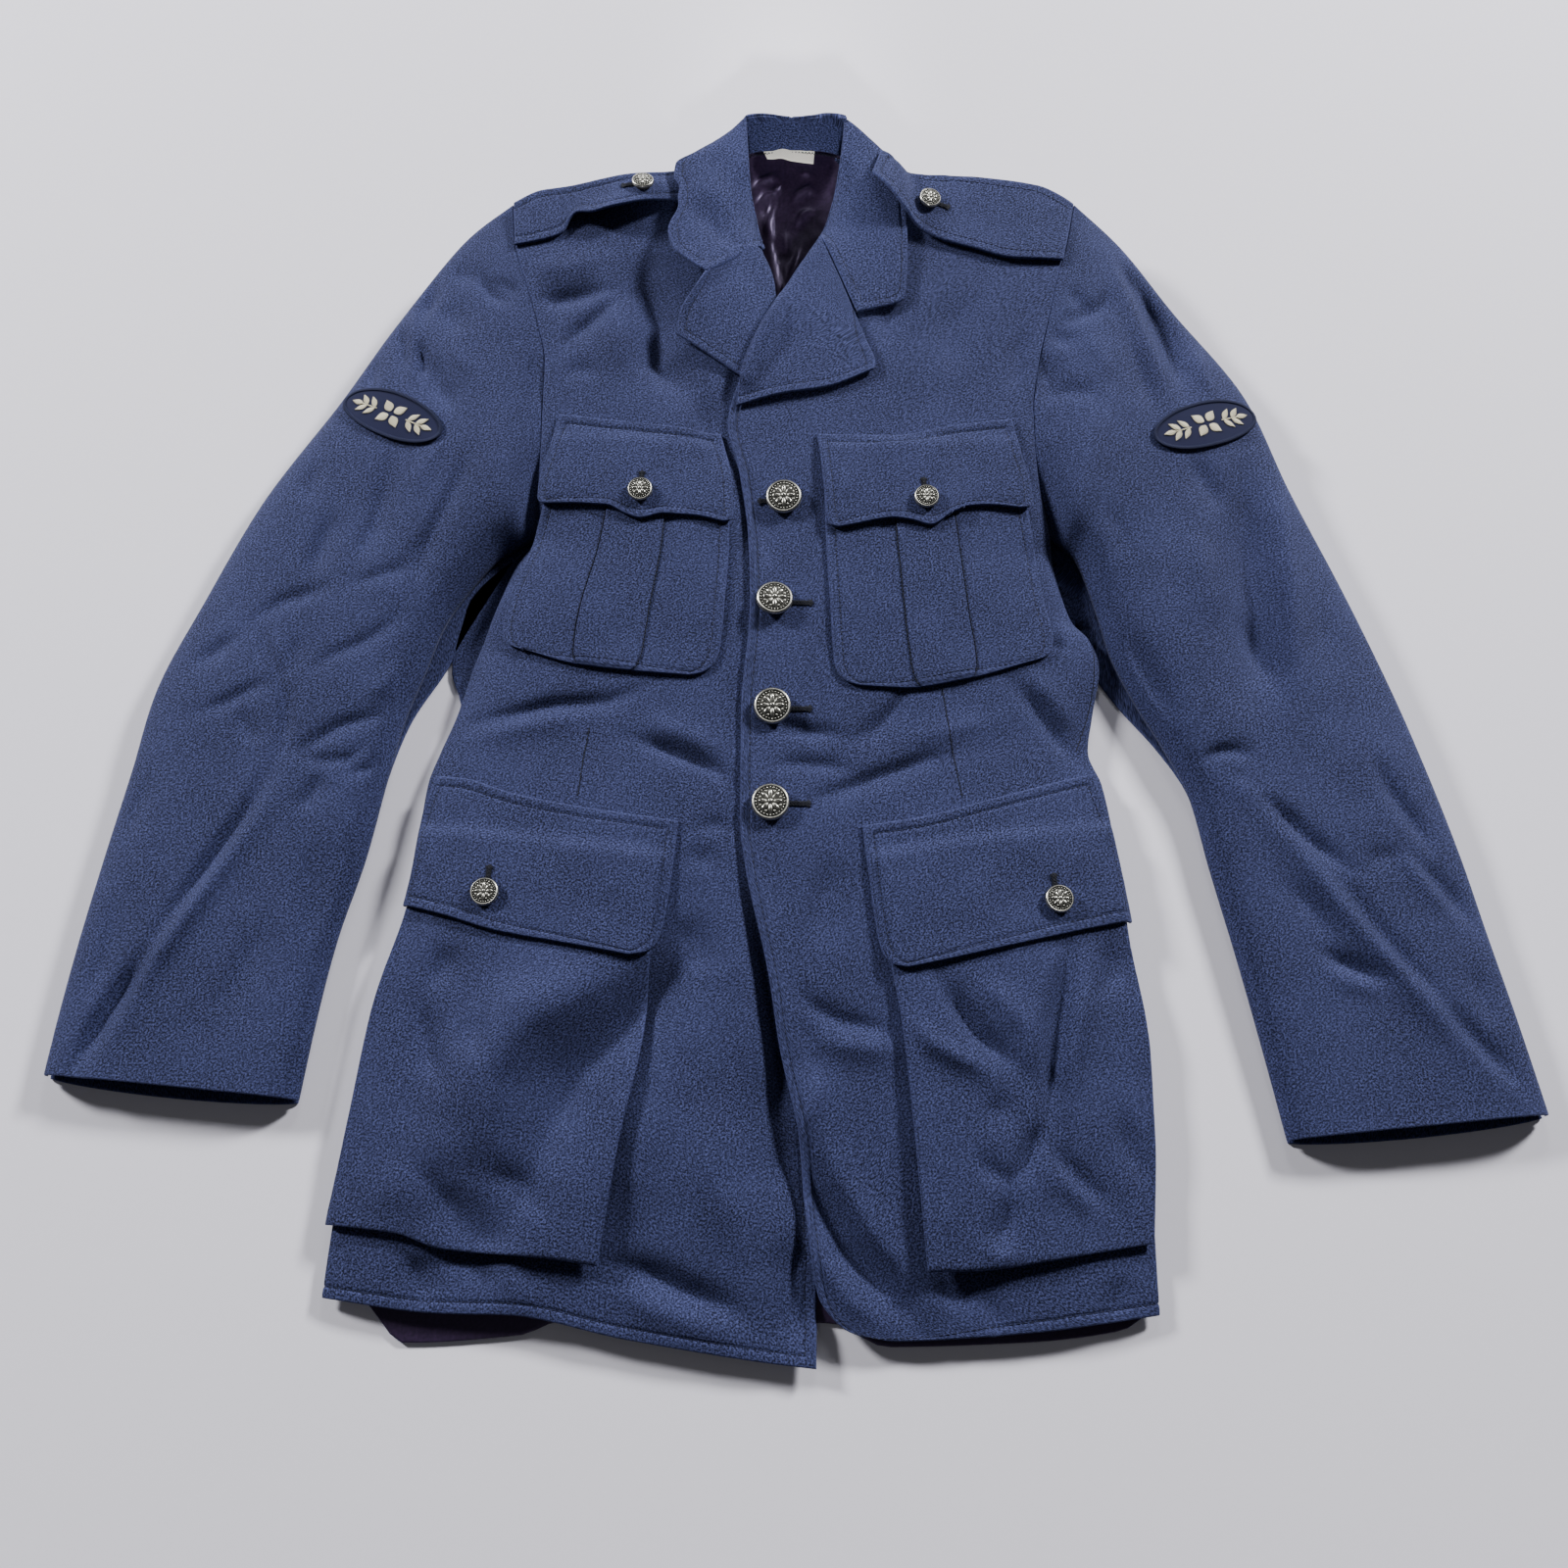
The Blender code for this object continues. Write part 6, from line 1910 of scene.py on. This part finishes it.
@dataclass
class LowerPockets:
    """Bellows pockets whose lower and front edges stand off the skirt, under large flaps."""

    laying: Laying
    bellows: float = 6.0
    edge_roll: float = 2.6
    crest: float = 1.5
    trough: float = 0.9

    def build(self) -> None:
        """Lays both pockets and their flaps."""
        sides = (
            ("right", RIGHT_LOWER_POCKET, RIGHT_LOWER_FLAP, True),
            ("left", LEFT_LOWER_POCKET, LEFT_LOWER_FLAP, False),
        )
        for name, pocket, flap, free_end in sides:
            self.laying.lay("bellows_pouch_" + name, pocket, "lower_pocket_" + name, "front_panel_" + name,
                            frozenset(), self.stood_off(free_end))
            self.laying.lay("lower_flap_cover_" + name, flap, "lower_flap_" + name, "bellows_pouch_" + name,
                            ALL_SIDES, self.flap, reach=2)

    def stood_off(self, free_end: bool) -> Callable:
        """Gives the lift of a pocket whose front edge is at the end or at the start of its width.

        Args:
            free_end: whether the front edge is at the end.

        Returns:
            The lift, for Laying.lay.
        """

        def lift(u: Array, v: Array, x: Array, y: Array) -> Array:
            """The face stands off most along its free edges, which roll under.

            Args:
                u: shares across.
                v: shares up.
                x: places across, in mm.
                y: places up, in mm.

            Returns:
                The height above the skirt, in mm.
            """
            near, far = edge_distance(u, x, y, 1)
            up, _ = edge_distance(u, x, y, 0)
            front = far if free_end else near
            share = front / (near + far)
            fade = (1 - 0.75 * smooth_step(v / 0.9)) * (1 - 0.6 * smooth_step(share / 0.9))
            edge = rolled(up + 0.3, self.edge_roll) * rolled(front + 0.3, self.edge_roll)
            soft = 0.5 * ripple(x, y, 40, 51) + 0.25 * ripple(x, y, 17, 52)
            soft = soft * rolled(near, 12) * rolled(far, 12)
            creases = folds_at(POCKET_CREASES, x, y)
            creases = self.crest * np.maximum(creases, 0) + self.trough * np.minimum(creases, 0)
            return self.bellows * fade * (0.35 + 0.65 * edge) + soft + creases

        return lift

    @staticmethod
    def flap(u: Array, v: Array, x: Array, y: Array) -> Array:
        """The flap's lower edge stands a little off the pocket, unevenly."""
        return 1.3 * (1 - v) ** 2 * (0.6 + 0.4 * np.sin(6 * u + 1))


@dataclass
class Buttons:
    """Struck metal buttons: a low dome with a rim, a ring of beads and a rosette of eight petals."""

    finishes: Finishes
    ground: Ground
    # the relief: count, first turn, distance out, height, radius and stretch of each ring of pips
    rings: tuple = (
        (28, 0.0, 0.76, 0.585, 0.045, (1, 1, 1.6)),
        (8, 0.0, 0.40, 0.68, 0.14, (1.75, 0.8, 0.75)),
        (8, 0.5, 0.58, 0.63, 0.06, (1, 1, 1.2)),
        (1, 0.0, 0.0, 0.72, 0.13, (1, 1, 0.9)),
    )
    profile: tuple = (
        (0.80, 0.05), (0.94, 0.16), (1.0, 0.32), (1.0, 0.46), (0.965, 0.56), (0.91, 0.60), (0.86, 0.585),
        (0.83, 0.545), (0.80, 0.55), (0.62, 0.62), (0.40, 0.68), (0.20, 0.705), (0.06, 0.71),
    )

    def build(self) -> None:
        """Models one button, and sets a copy with its own mesh at each place."""
        model = self.model()
        for place in BUTTONS:
            self.set_at(model, place)
        bpy.data.objects.remove(model)

    def model(self) -> Object:
        """Models one button, one unit in radius and one unit tall, on the origin.

        Returns:
            The button.
        """
        deselect_all()
        bpy.ops.mesh.primitive_cylinder_add(vertices=56, radius=self.profile[0][0], depth=self.profile[0][1],
                                            location=(0, 0, self.profile[0][1] / 2))
        shell = bpy.context.object
        bpy.ops.object.mode_set(mode="EDIT")
        bpy.ops.mesh.select_all(action="DESELECT")
        edit = bmesh.from_edit_mesh(shell.data)
        top = max(edit.faces, key=lambda face: face.calc_center_median().z)
        top.select_set(True)
        bmesh.update_edit_mesh(shell.data)
        for (before, low), (after, high) in zip(self.profile, self.profile[1:]):
            bpy.ops.mesh.extrude_region_move(TRANSFORM_OT_translate={"value": (0, 0, high - low)})
            share = after / before
            bpy.ops.transform.resize(value=(share, share, 1), center_override=(0, 0, high))
        bpy.ops.object.mode_set(mode="OBJECT")
        parts = [shell]
        for count, first, out, up, radius, stretch in self.rings:
            for number in range(count):
                angle = 2 * math.pi * (number + first) / count
                middle = (out * math.cos(angle), out * math.sin(angle), up)
                parts.append(self.pip(radius, middle, stretch, angle if stretch[0] > stretch[1] else 0.0))
        deselect_all()
        for part in parts:
            part.select_set(True)
        bpy.context.view_layer.objects.active = shell
        bpy.ops.object.join()
        bpy.ops.object.shade_smooth_by_angle(angle=math.radians(50))
        return shell

    @staticmethod
    def pip(size: float, middle: tuple, stretch: tuple, turn: float) -> Object:
        """One raised pip of the relief, drawn out along its own direction.

        Args:
            size: its radius.
            middle: its place.
            stretch: how much it is drawn out each way.
            turn: the angle that it is turned by.

        Returns:
            The pip.
        """
        deselect_all()
        bpy.ops.mesh.primitive_ico_sphere_add(subdivisions=2, radius=size, location=middle,
                                              rotation=(0, 0, turn))
        made = bpy.context.object
        made.scale = stretch
        bpy.ops.object.transform_apply(location=True, rotation=True, scale=True)
        return made

    def set_at(self, model: Object, place: Button) -> None:
        """Copies the button to its place, square on the cloth there.

        Args:
            model: the modelled button.
            place: where it goes, and its size.
        """
        mesh = model.data.copy()
        points = np.empty(len(mesh.vertices) * 3)
        mesh.vertices.foreach_get("co", points)
        points = points.reshape(-1, 3)
        relief = mesh.attributes.new("relief", "FLOAT", "POINT")
        radius = np.hypot(points[:, 0], points[:, 1])
        dome = np.interp(radius, [0.0, 0.4, 0.8, 0.9, 1.0], [0.71, 0.68, 0.55, 0.6, 0.4])
        raised = (points[:, 2] - dome) / 0.09 + 0.25 + 0.5 * (radius > 0.86)
        relief.data.foreach_set("value", np.clip(raised, 0, 1))
        middle, normal = surface_at(self.ground, place.x, place.y, place.across / 2 - 1)
        turned = normal + np.array([0.0, math.sin(math.radians(place.tilt)), 0.0])
        normal = turned / np.linalg.norm(turned)
        side = np.cross([0.0, 1.0, 0.0], normal)
        side /= np.linalg.norm(side)
        axes = np.array([side, np.cross(normal, side), normal])
        sizes = np.array([place.across / 2, place.across / 2, place.tall * 1.25])
        placed = (points * sizes) @ axes + middle + normal * 0.25
        mesh.vertices.foreach_set("co", (placed * MM).ravel())
        mesh.materials.clear()
        mesh.materials.append(self.finishes.pewter)
        mesh.update()
        piece = bpy.data.objects.new("struck_" + place.node, mesh)
        bpy.context.scene.collection.objects.link(piece)
        hand_over(piece, "pewter", (place.node,))


def surface_at(ground: Ground, x: float, y: float, reach: float) -> tuple[Array, Array]:
    """The plane that a hard piece rests on.

    Args:
        ground: what is laid so far.
        x: the piece's middle, across.
        y: the piece's middle, up.
        reach: its radius in mm.

    Returns:
        The highest place under it, and the plane's normal.
    """
    ways = ((0, 0), (1, 0), (-1, 0), (0, 1), (0, -1))
    around = np.array([(x + dx * reach, y + dy * reach) for dx, dy in ways])
    heights = ground.under(around[:, 0], around[:, 1], 1, 2.0)
    slope_x, slope_y = (heights[1] - heights[2]) / (2 * reach), (heights[3] - heights[4]) / (2 * reach)
    normal = np.array([-slope_x, -slope_y, 1.0])
    normal /= np.linalg.norm(normal)
    highest = max(height - (dx * slope_x + dy * slope_y) * reach for height, (dx, dy) in zip(heights, ways))
    return np.array([x, y, highest]), normal


@dataclass
class Buttonholes:
    """Worked buttonholes: a dense row of upright stitches on each side of a slit."""

    finishes: Finishes
    ground: Ground
    pitch: float = 0.62
    reach: float = 1.5

    def build(self) -> None:
        """Works every buttonhole into one piece of thread."""
        work = Stitches("worked_buttonholes", self.finishes.buttonhole)
        for hole in BUTTONHOLES:
            self.work(work, hole)
        work.build()

    def work(self, work: Stitches, hole: Hole) -> None:
        """Works one buttonhole, with a fan of stitches round each end.

        Args:
            work: the stitches so far.
            hole: the buttonhole.
        """
        turn = math.radians(hole.turn)
        way = np.array([math.cos(turn), math.sin(turn)])
        side = np.array([-way[1], way[0]])
        half = hole.length / 2
        spots = [(at, sign) for at in np.arange(-half, half + 0.01, self.pitch) for sign in (-1, 1)]
        for at, sign in spots:
            self.stitch(work, hole, way * at + side * sign * self.reach * 0.55, side * sign)
        for end in (-1, 1):
            for angle in np.linspace(-1.3, 1.3, 7):
                out = way * end * math.cos(angle) + side * math.sin(angle)
                self.stitch(work, hole, way * end * half + out * self.reach * 0.55, out)
        for off in (-0.5, 0.1, 0.7):
            self.stitch(work, hole, way * hole.shown * (half + off), side, 4.8)
        for sign in (-1, 1):
            for at in np.arange(-half, half, 2.0):
                self.stitch(work, hole, way * (at + 1.0) + side * sign * 0.28, way, 2.3, 0.34, 0.42)

    def stitch(self, work: Stitches, hole: Hole, offset: Array, way: Array,
               length: float = 1.7, radius: float = 0.36, rise: float = 0.3) -> None:
        """Lays one thread on the cloth, at an offset from the middle of the hole.

        Args:
            work: the stitches so far.
            hole: the buttonhole.
            offset: the thread's middle, from the middle of the hole.
            way: its direction.
            length: its length in mm.
            radius: its radius in mm.
            rise: how far its middle lies above the cloth.
        """
        x, y = hole.x + offset[0], hole.y + offset[1]
        middle, normal = surface_at(self.ground, x, y, 2.0)
        flat = np.array([way[0], way[1], 0.0])
        flat -= normal * flat.dot(normal)
        work.add(middle + normal * rise, flat, normal, length, radius)


@dataclass
class SleeveBadges:
    """Oval cloth badges with a corded edge, a flower of four petals and two sprays of leaves."""

    finishes: Finishes
    ground: Ground
    width: float = 74.0
    height: float = 32.0
    wall: float = 1.0
    pitch: float = 0.62

    def build(self) -> None:
        """Makes both badges and their embroidery."""
        for badge in BADGES:
            self.cloth(badge)
            edge = Stitches("badge_edge_" + badge.name, self.finishes.navy, "navy")
            self.border(edge, badge)
            edge.build()
            relief = Stitches("badge_flower_" + badge.name, self.finishes.cream, "cream")
            self.flower(relief, badge)
            relief.build()

    def cloth(self, badge: Badge) -> None:
        """The oval of navy cloth, laid on the sleeve.

        Args:
            badge: the badge.
        """
        line = np.linspace(-1, 1, 44)
        u, v = np.meshgrid(line, line)
        across, up = u * np.sqrt(1 - v**2 / 2), v * np.sqrt(1 - u**2 / 2)
        x, y = self.turned(badge, across * self.width / 2, up * self.height / 2)
        height = self.ground.under(x, y, 1, 2.0) + GAP + self.wall
        cloth = Sheet("badge_cloth_" + badge.name, np.stack([x, y, height], axis=-1),
                      self.finishes.navy_cloth, ("sleeve_badge_" + badge.name,), wall=self.wall,
                      round_off=0.5, slot="navy")
        cloth.build(("topsleeve_panel_" + badge.name,))

    @staticmethod
    def turned(badge: Badge, across: Array, up: Array) -> tuple[Array, Array]:
        """Places on the badge, turned as it lies on the sleeve.

        Args:
            badge: the badge.
            across: places along it, from its middle.
            up: places up it.

        Returns:
            Places across and up the jacket.
        """
        turn = math.radians(badge.turn)
        return (badge.x + across * math.cos(turn) - up * math.sin(turn),
                badge.y + across * math.sin(turn) + up * math.cos(turn))

    def stitch(self, work: Stitches, badge: Badge, start: tuple, end: tuple, radius: float = 0.42,
               rise: float = 0.2) -> None:
        """Lays one thread between two places on the badge.

        Args:
            work: the stitches so far.
            badge: the badge.
            start: one end, from the badge's middle.
            end: the other end.
            radius: its radius in mm.
            rise: how far its middle lies above the cloth.
        """
        ends = np.array([start, end], float)
        x, y = self.turned(badge, ends[:, 0], ends[:, 1])
        z = self.ground.under(x, y, 1, 2.0) + GAP + self.wall + rise
        places = np.stack([x, y, z], axis=-1)
        way = places[1] - places[0]
        length = float(np.linalg.norm(way)) + 0.2
        work.add(places.mean(axis=0), way, np.array([0.0, 0.0, 1.0]), length, radius)

    def border(self, work: Stitches, badge: Badge) -> None:
        """A corded edge of close stitches across the rim.

        Args:
            work: the stitches so far.
            badge: the badge.
        """
        around = np.linspace(0, 2 * math.pi, 721)
        outline = np.stack([np.cos(around) * (self.width / 2 - 0.9),
                            np.sin(around) * (self.height / 2 - 0.9)], axis=-1)
        run = lengths(outline)
        for at in np.arange(0, run[-1], self.pitch):
            angle = np.interp(at, run, around)
            place = at_lengths(outline, run, at)
            out = np.array([math.cos(angle) * self.height, math.sin(angle) * self.width])
            out /= np.linalg.norm(out)
            self.stitch(work, badge, place - out * 1.15, place + out * 1.0, 0.44, 0.25)

    def flower(self, work: Stitches, badge: Badge) -> None:
        """Four petals round an open middle, with three leaves and a stem on each side.

        Args:
            work: the stitches so far.
            badge: the badge.
        """
        for number in range(4):
            angle = math.radians(45 + 90 * number)
            self.leaf(work, badge, (2.0 * math.cos(angle), 2.0 * math.sin(angle)), angle, 8.6, 6.0)
        for sign in (-1, 1):
            for at in np.arange(11.0, 22.0, 1.6):
                self.stitch(work, badge, (sign * at, 0.0), (sign * (at + 1.5), 0.0), 0.5)
            for at, lean in ((12.5, 0.85), (12.5, -0.85), (18.5, 0.75), (18.5, -0.75), (22.0, 0.0)):
                angle = lean if sign > 0 else math.pi - lean
                self.leaf(work, badge, (sign * at, 0.6 * np.sign(lean)), angle, 8.0, 3.6)

    def leaf(self, work: Stitches, badge: Badge, root: tuple, angle: float, length: float,
             width: float) -> None:
        """Fills a petal or a leaf with stitches across it.

        Args:
            work: the stitches so far.
            badge: the badge.
            root: where it starts.
            angle: its direction.
            length: its length in mm.
            width: its width in mm.
        """
        way = np.array([math.cos(angle), math.sin(angle)])
        side = np.array([-way[1], way[0]])
        for at in np.arange(0.4, length, self.pitch):
            half = width / 2 * math.sin(math.pi * (at / length) ** 0.8)
            middle = np.array(root) + way * at
            self.stitch(work, badge, middle - side * half, middle + side * half, 0.44, 0.3)


@dataclass
class Studio:
    """The floor, the camera and the soft light of the photograph."""

    place: tuple = (-0.005, -0.364, 0.841)
    tilt: float = 19.6
    lens: float = 33.75
    lamps: tuple = (
        Lamp("left lamp", (-2.5, 1.6, 1.45), 0.5, 160.0),
        Lamp("right lamp", (2.3, 2.1, 1.65), 0.5, 212.0),
        Lamp("top lamp", (0.1, 1.8, 1.2), 0.5, 9.0),
        Lamp("fill", (-0.2, -1.0, 1.6), 0.9, 1.0),
    )
    sky: float = 0.05
    neck_lamp: Lamp = Lamp("neck lamp", (0.0, -0.9, 0.72), 0.06, 125.0)
    neck: tuple = (0.0, 0.385, 0.04)
    cone: float = 6.5

    def build(self) -> None:
        """Sets the stage."""
        view = bpy.data.cameras.new("view")
        view.sensor_width, view.lens = 36.0, self.lens
        camera = bpy.data.objects.new("view", view)
        camera.location = self.place
        camera.rotation_euler = (math.radians(self.tilt), 0, 0)
        bpy.context.scene.collection.objects.link(camera)
        bpy.context.scene.camera = camera
        deselect_all()
        bpy.ops.mesh.primitive_grid_add(x_subdivisions=4, y_subdivisions=4, size=6, location=(0, 0, -0.0004))
        floor = bpy.context.object
        floor.name = "studio_floor"
        floor.data.materials.append(PlainFloor().make())
        for lamp in self.lamps:
            self.light(lamp, "AREA", (0.0, 0.0, 0.0)).size = lamp.size
        spot = self.light(self.neck_lamp, "SPOT", self.neck)
        spot.shadow_soft_size, spot.spot_size = self.neck_lamp.size, math.radians(self.cone)
        spot.spot_blend = 1.0
        world = bpy.data.worlds.new("soft sky")
        world.use_nodes = True
        back = world.node_tree.nodes["Background"]
        back.inputs["Color"].default_value = linear("#f6f6fa")
        back.inputs["Strength"].default_value = self.sky
        bpy.context.scene.world = world

    @staticmethod
    def light(lamp: Lamp, kind: str, aim: tuple) -> Light:
        """Hangs one lamp, turned to what it lights.

        Args:
            lamp: its name, place, size and power.
            kind: Blender's name for its kind.
            aim: the place that it points at.

        Returns:
            The lamp, whose size is still to be set.
        """
        made = bpy.data.lights.new(lamp.name, kind)
        made.energy = lamp.power
        placed = bpy.data.objects.new(lamp.name, made)
        placed.location = lamp.place
        placed.rotation_euler = (Vector(lamp.place) - Vector(aim)).to_track_quat("Z", "Y").to_euler()
        bpy.context.scene.collection.objects.link(placed)
        return made


def main() -> None:
    """Builds the jacket from the lining outwards, and then its trimmings."""
    logging.basicConfig(level=logging.INFO, format="%(message)s")
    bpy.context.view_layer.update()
    Studio().build()
    finishes, ground = Finishes(), Ground()
    threads = Stitches("topstitching", finishes.topstitch)
    # The seam threads also take the dark threads that paint the shadow beside the chest pockets' pleats.
    seams = Stitches("seam_threads", finishes.buttonhole)
    laying = Laying(finishes, ground, threads, seams)
    straps = ShoulderStraps(laying)
    Body(finishes, ground, threads, seams).build()
    Sleeves(finishes, ground).build()
    neck = Neck(finishes, ground, threads, seams)
    neck.build_inside()
    straps.build_right()
    neck.ground = ground.copy()
    Lapels(laying).build()
    leaves = [neck.build_leaf(rows, side, name)
              for rows, side, name in ((RIGHT_COLLAR, -1, "right"), (LEFT_COLLAR, 1, "left"))]
    neck.build_stand()
    for leaf in leaves:
        ground.lay(leaf.upper)
    straps.build_left()
    ChestPockets(laying).build()
    LowerPockets(laying).build()
    SleeveBadges(finishes, ground).build()
    Buttonholes(finishes, ground).build()
    Buttons(finishes, ground).build()
    threads.build()
    seams.build()


if __name__ == "__main__":
    main()
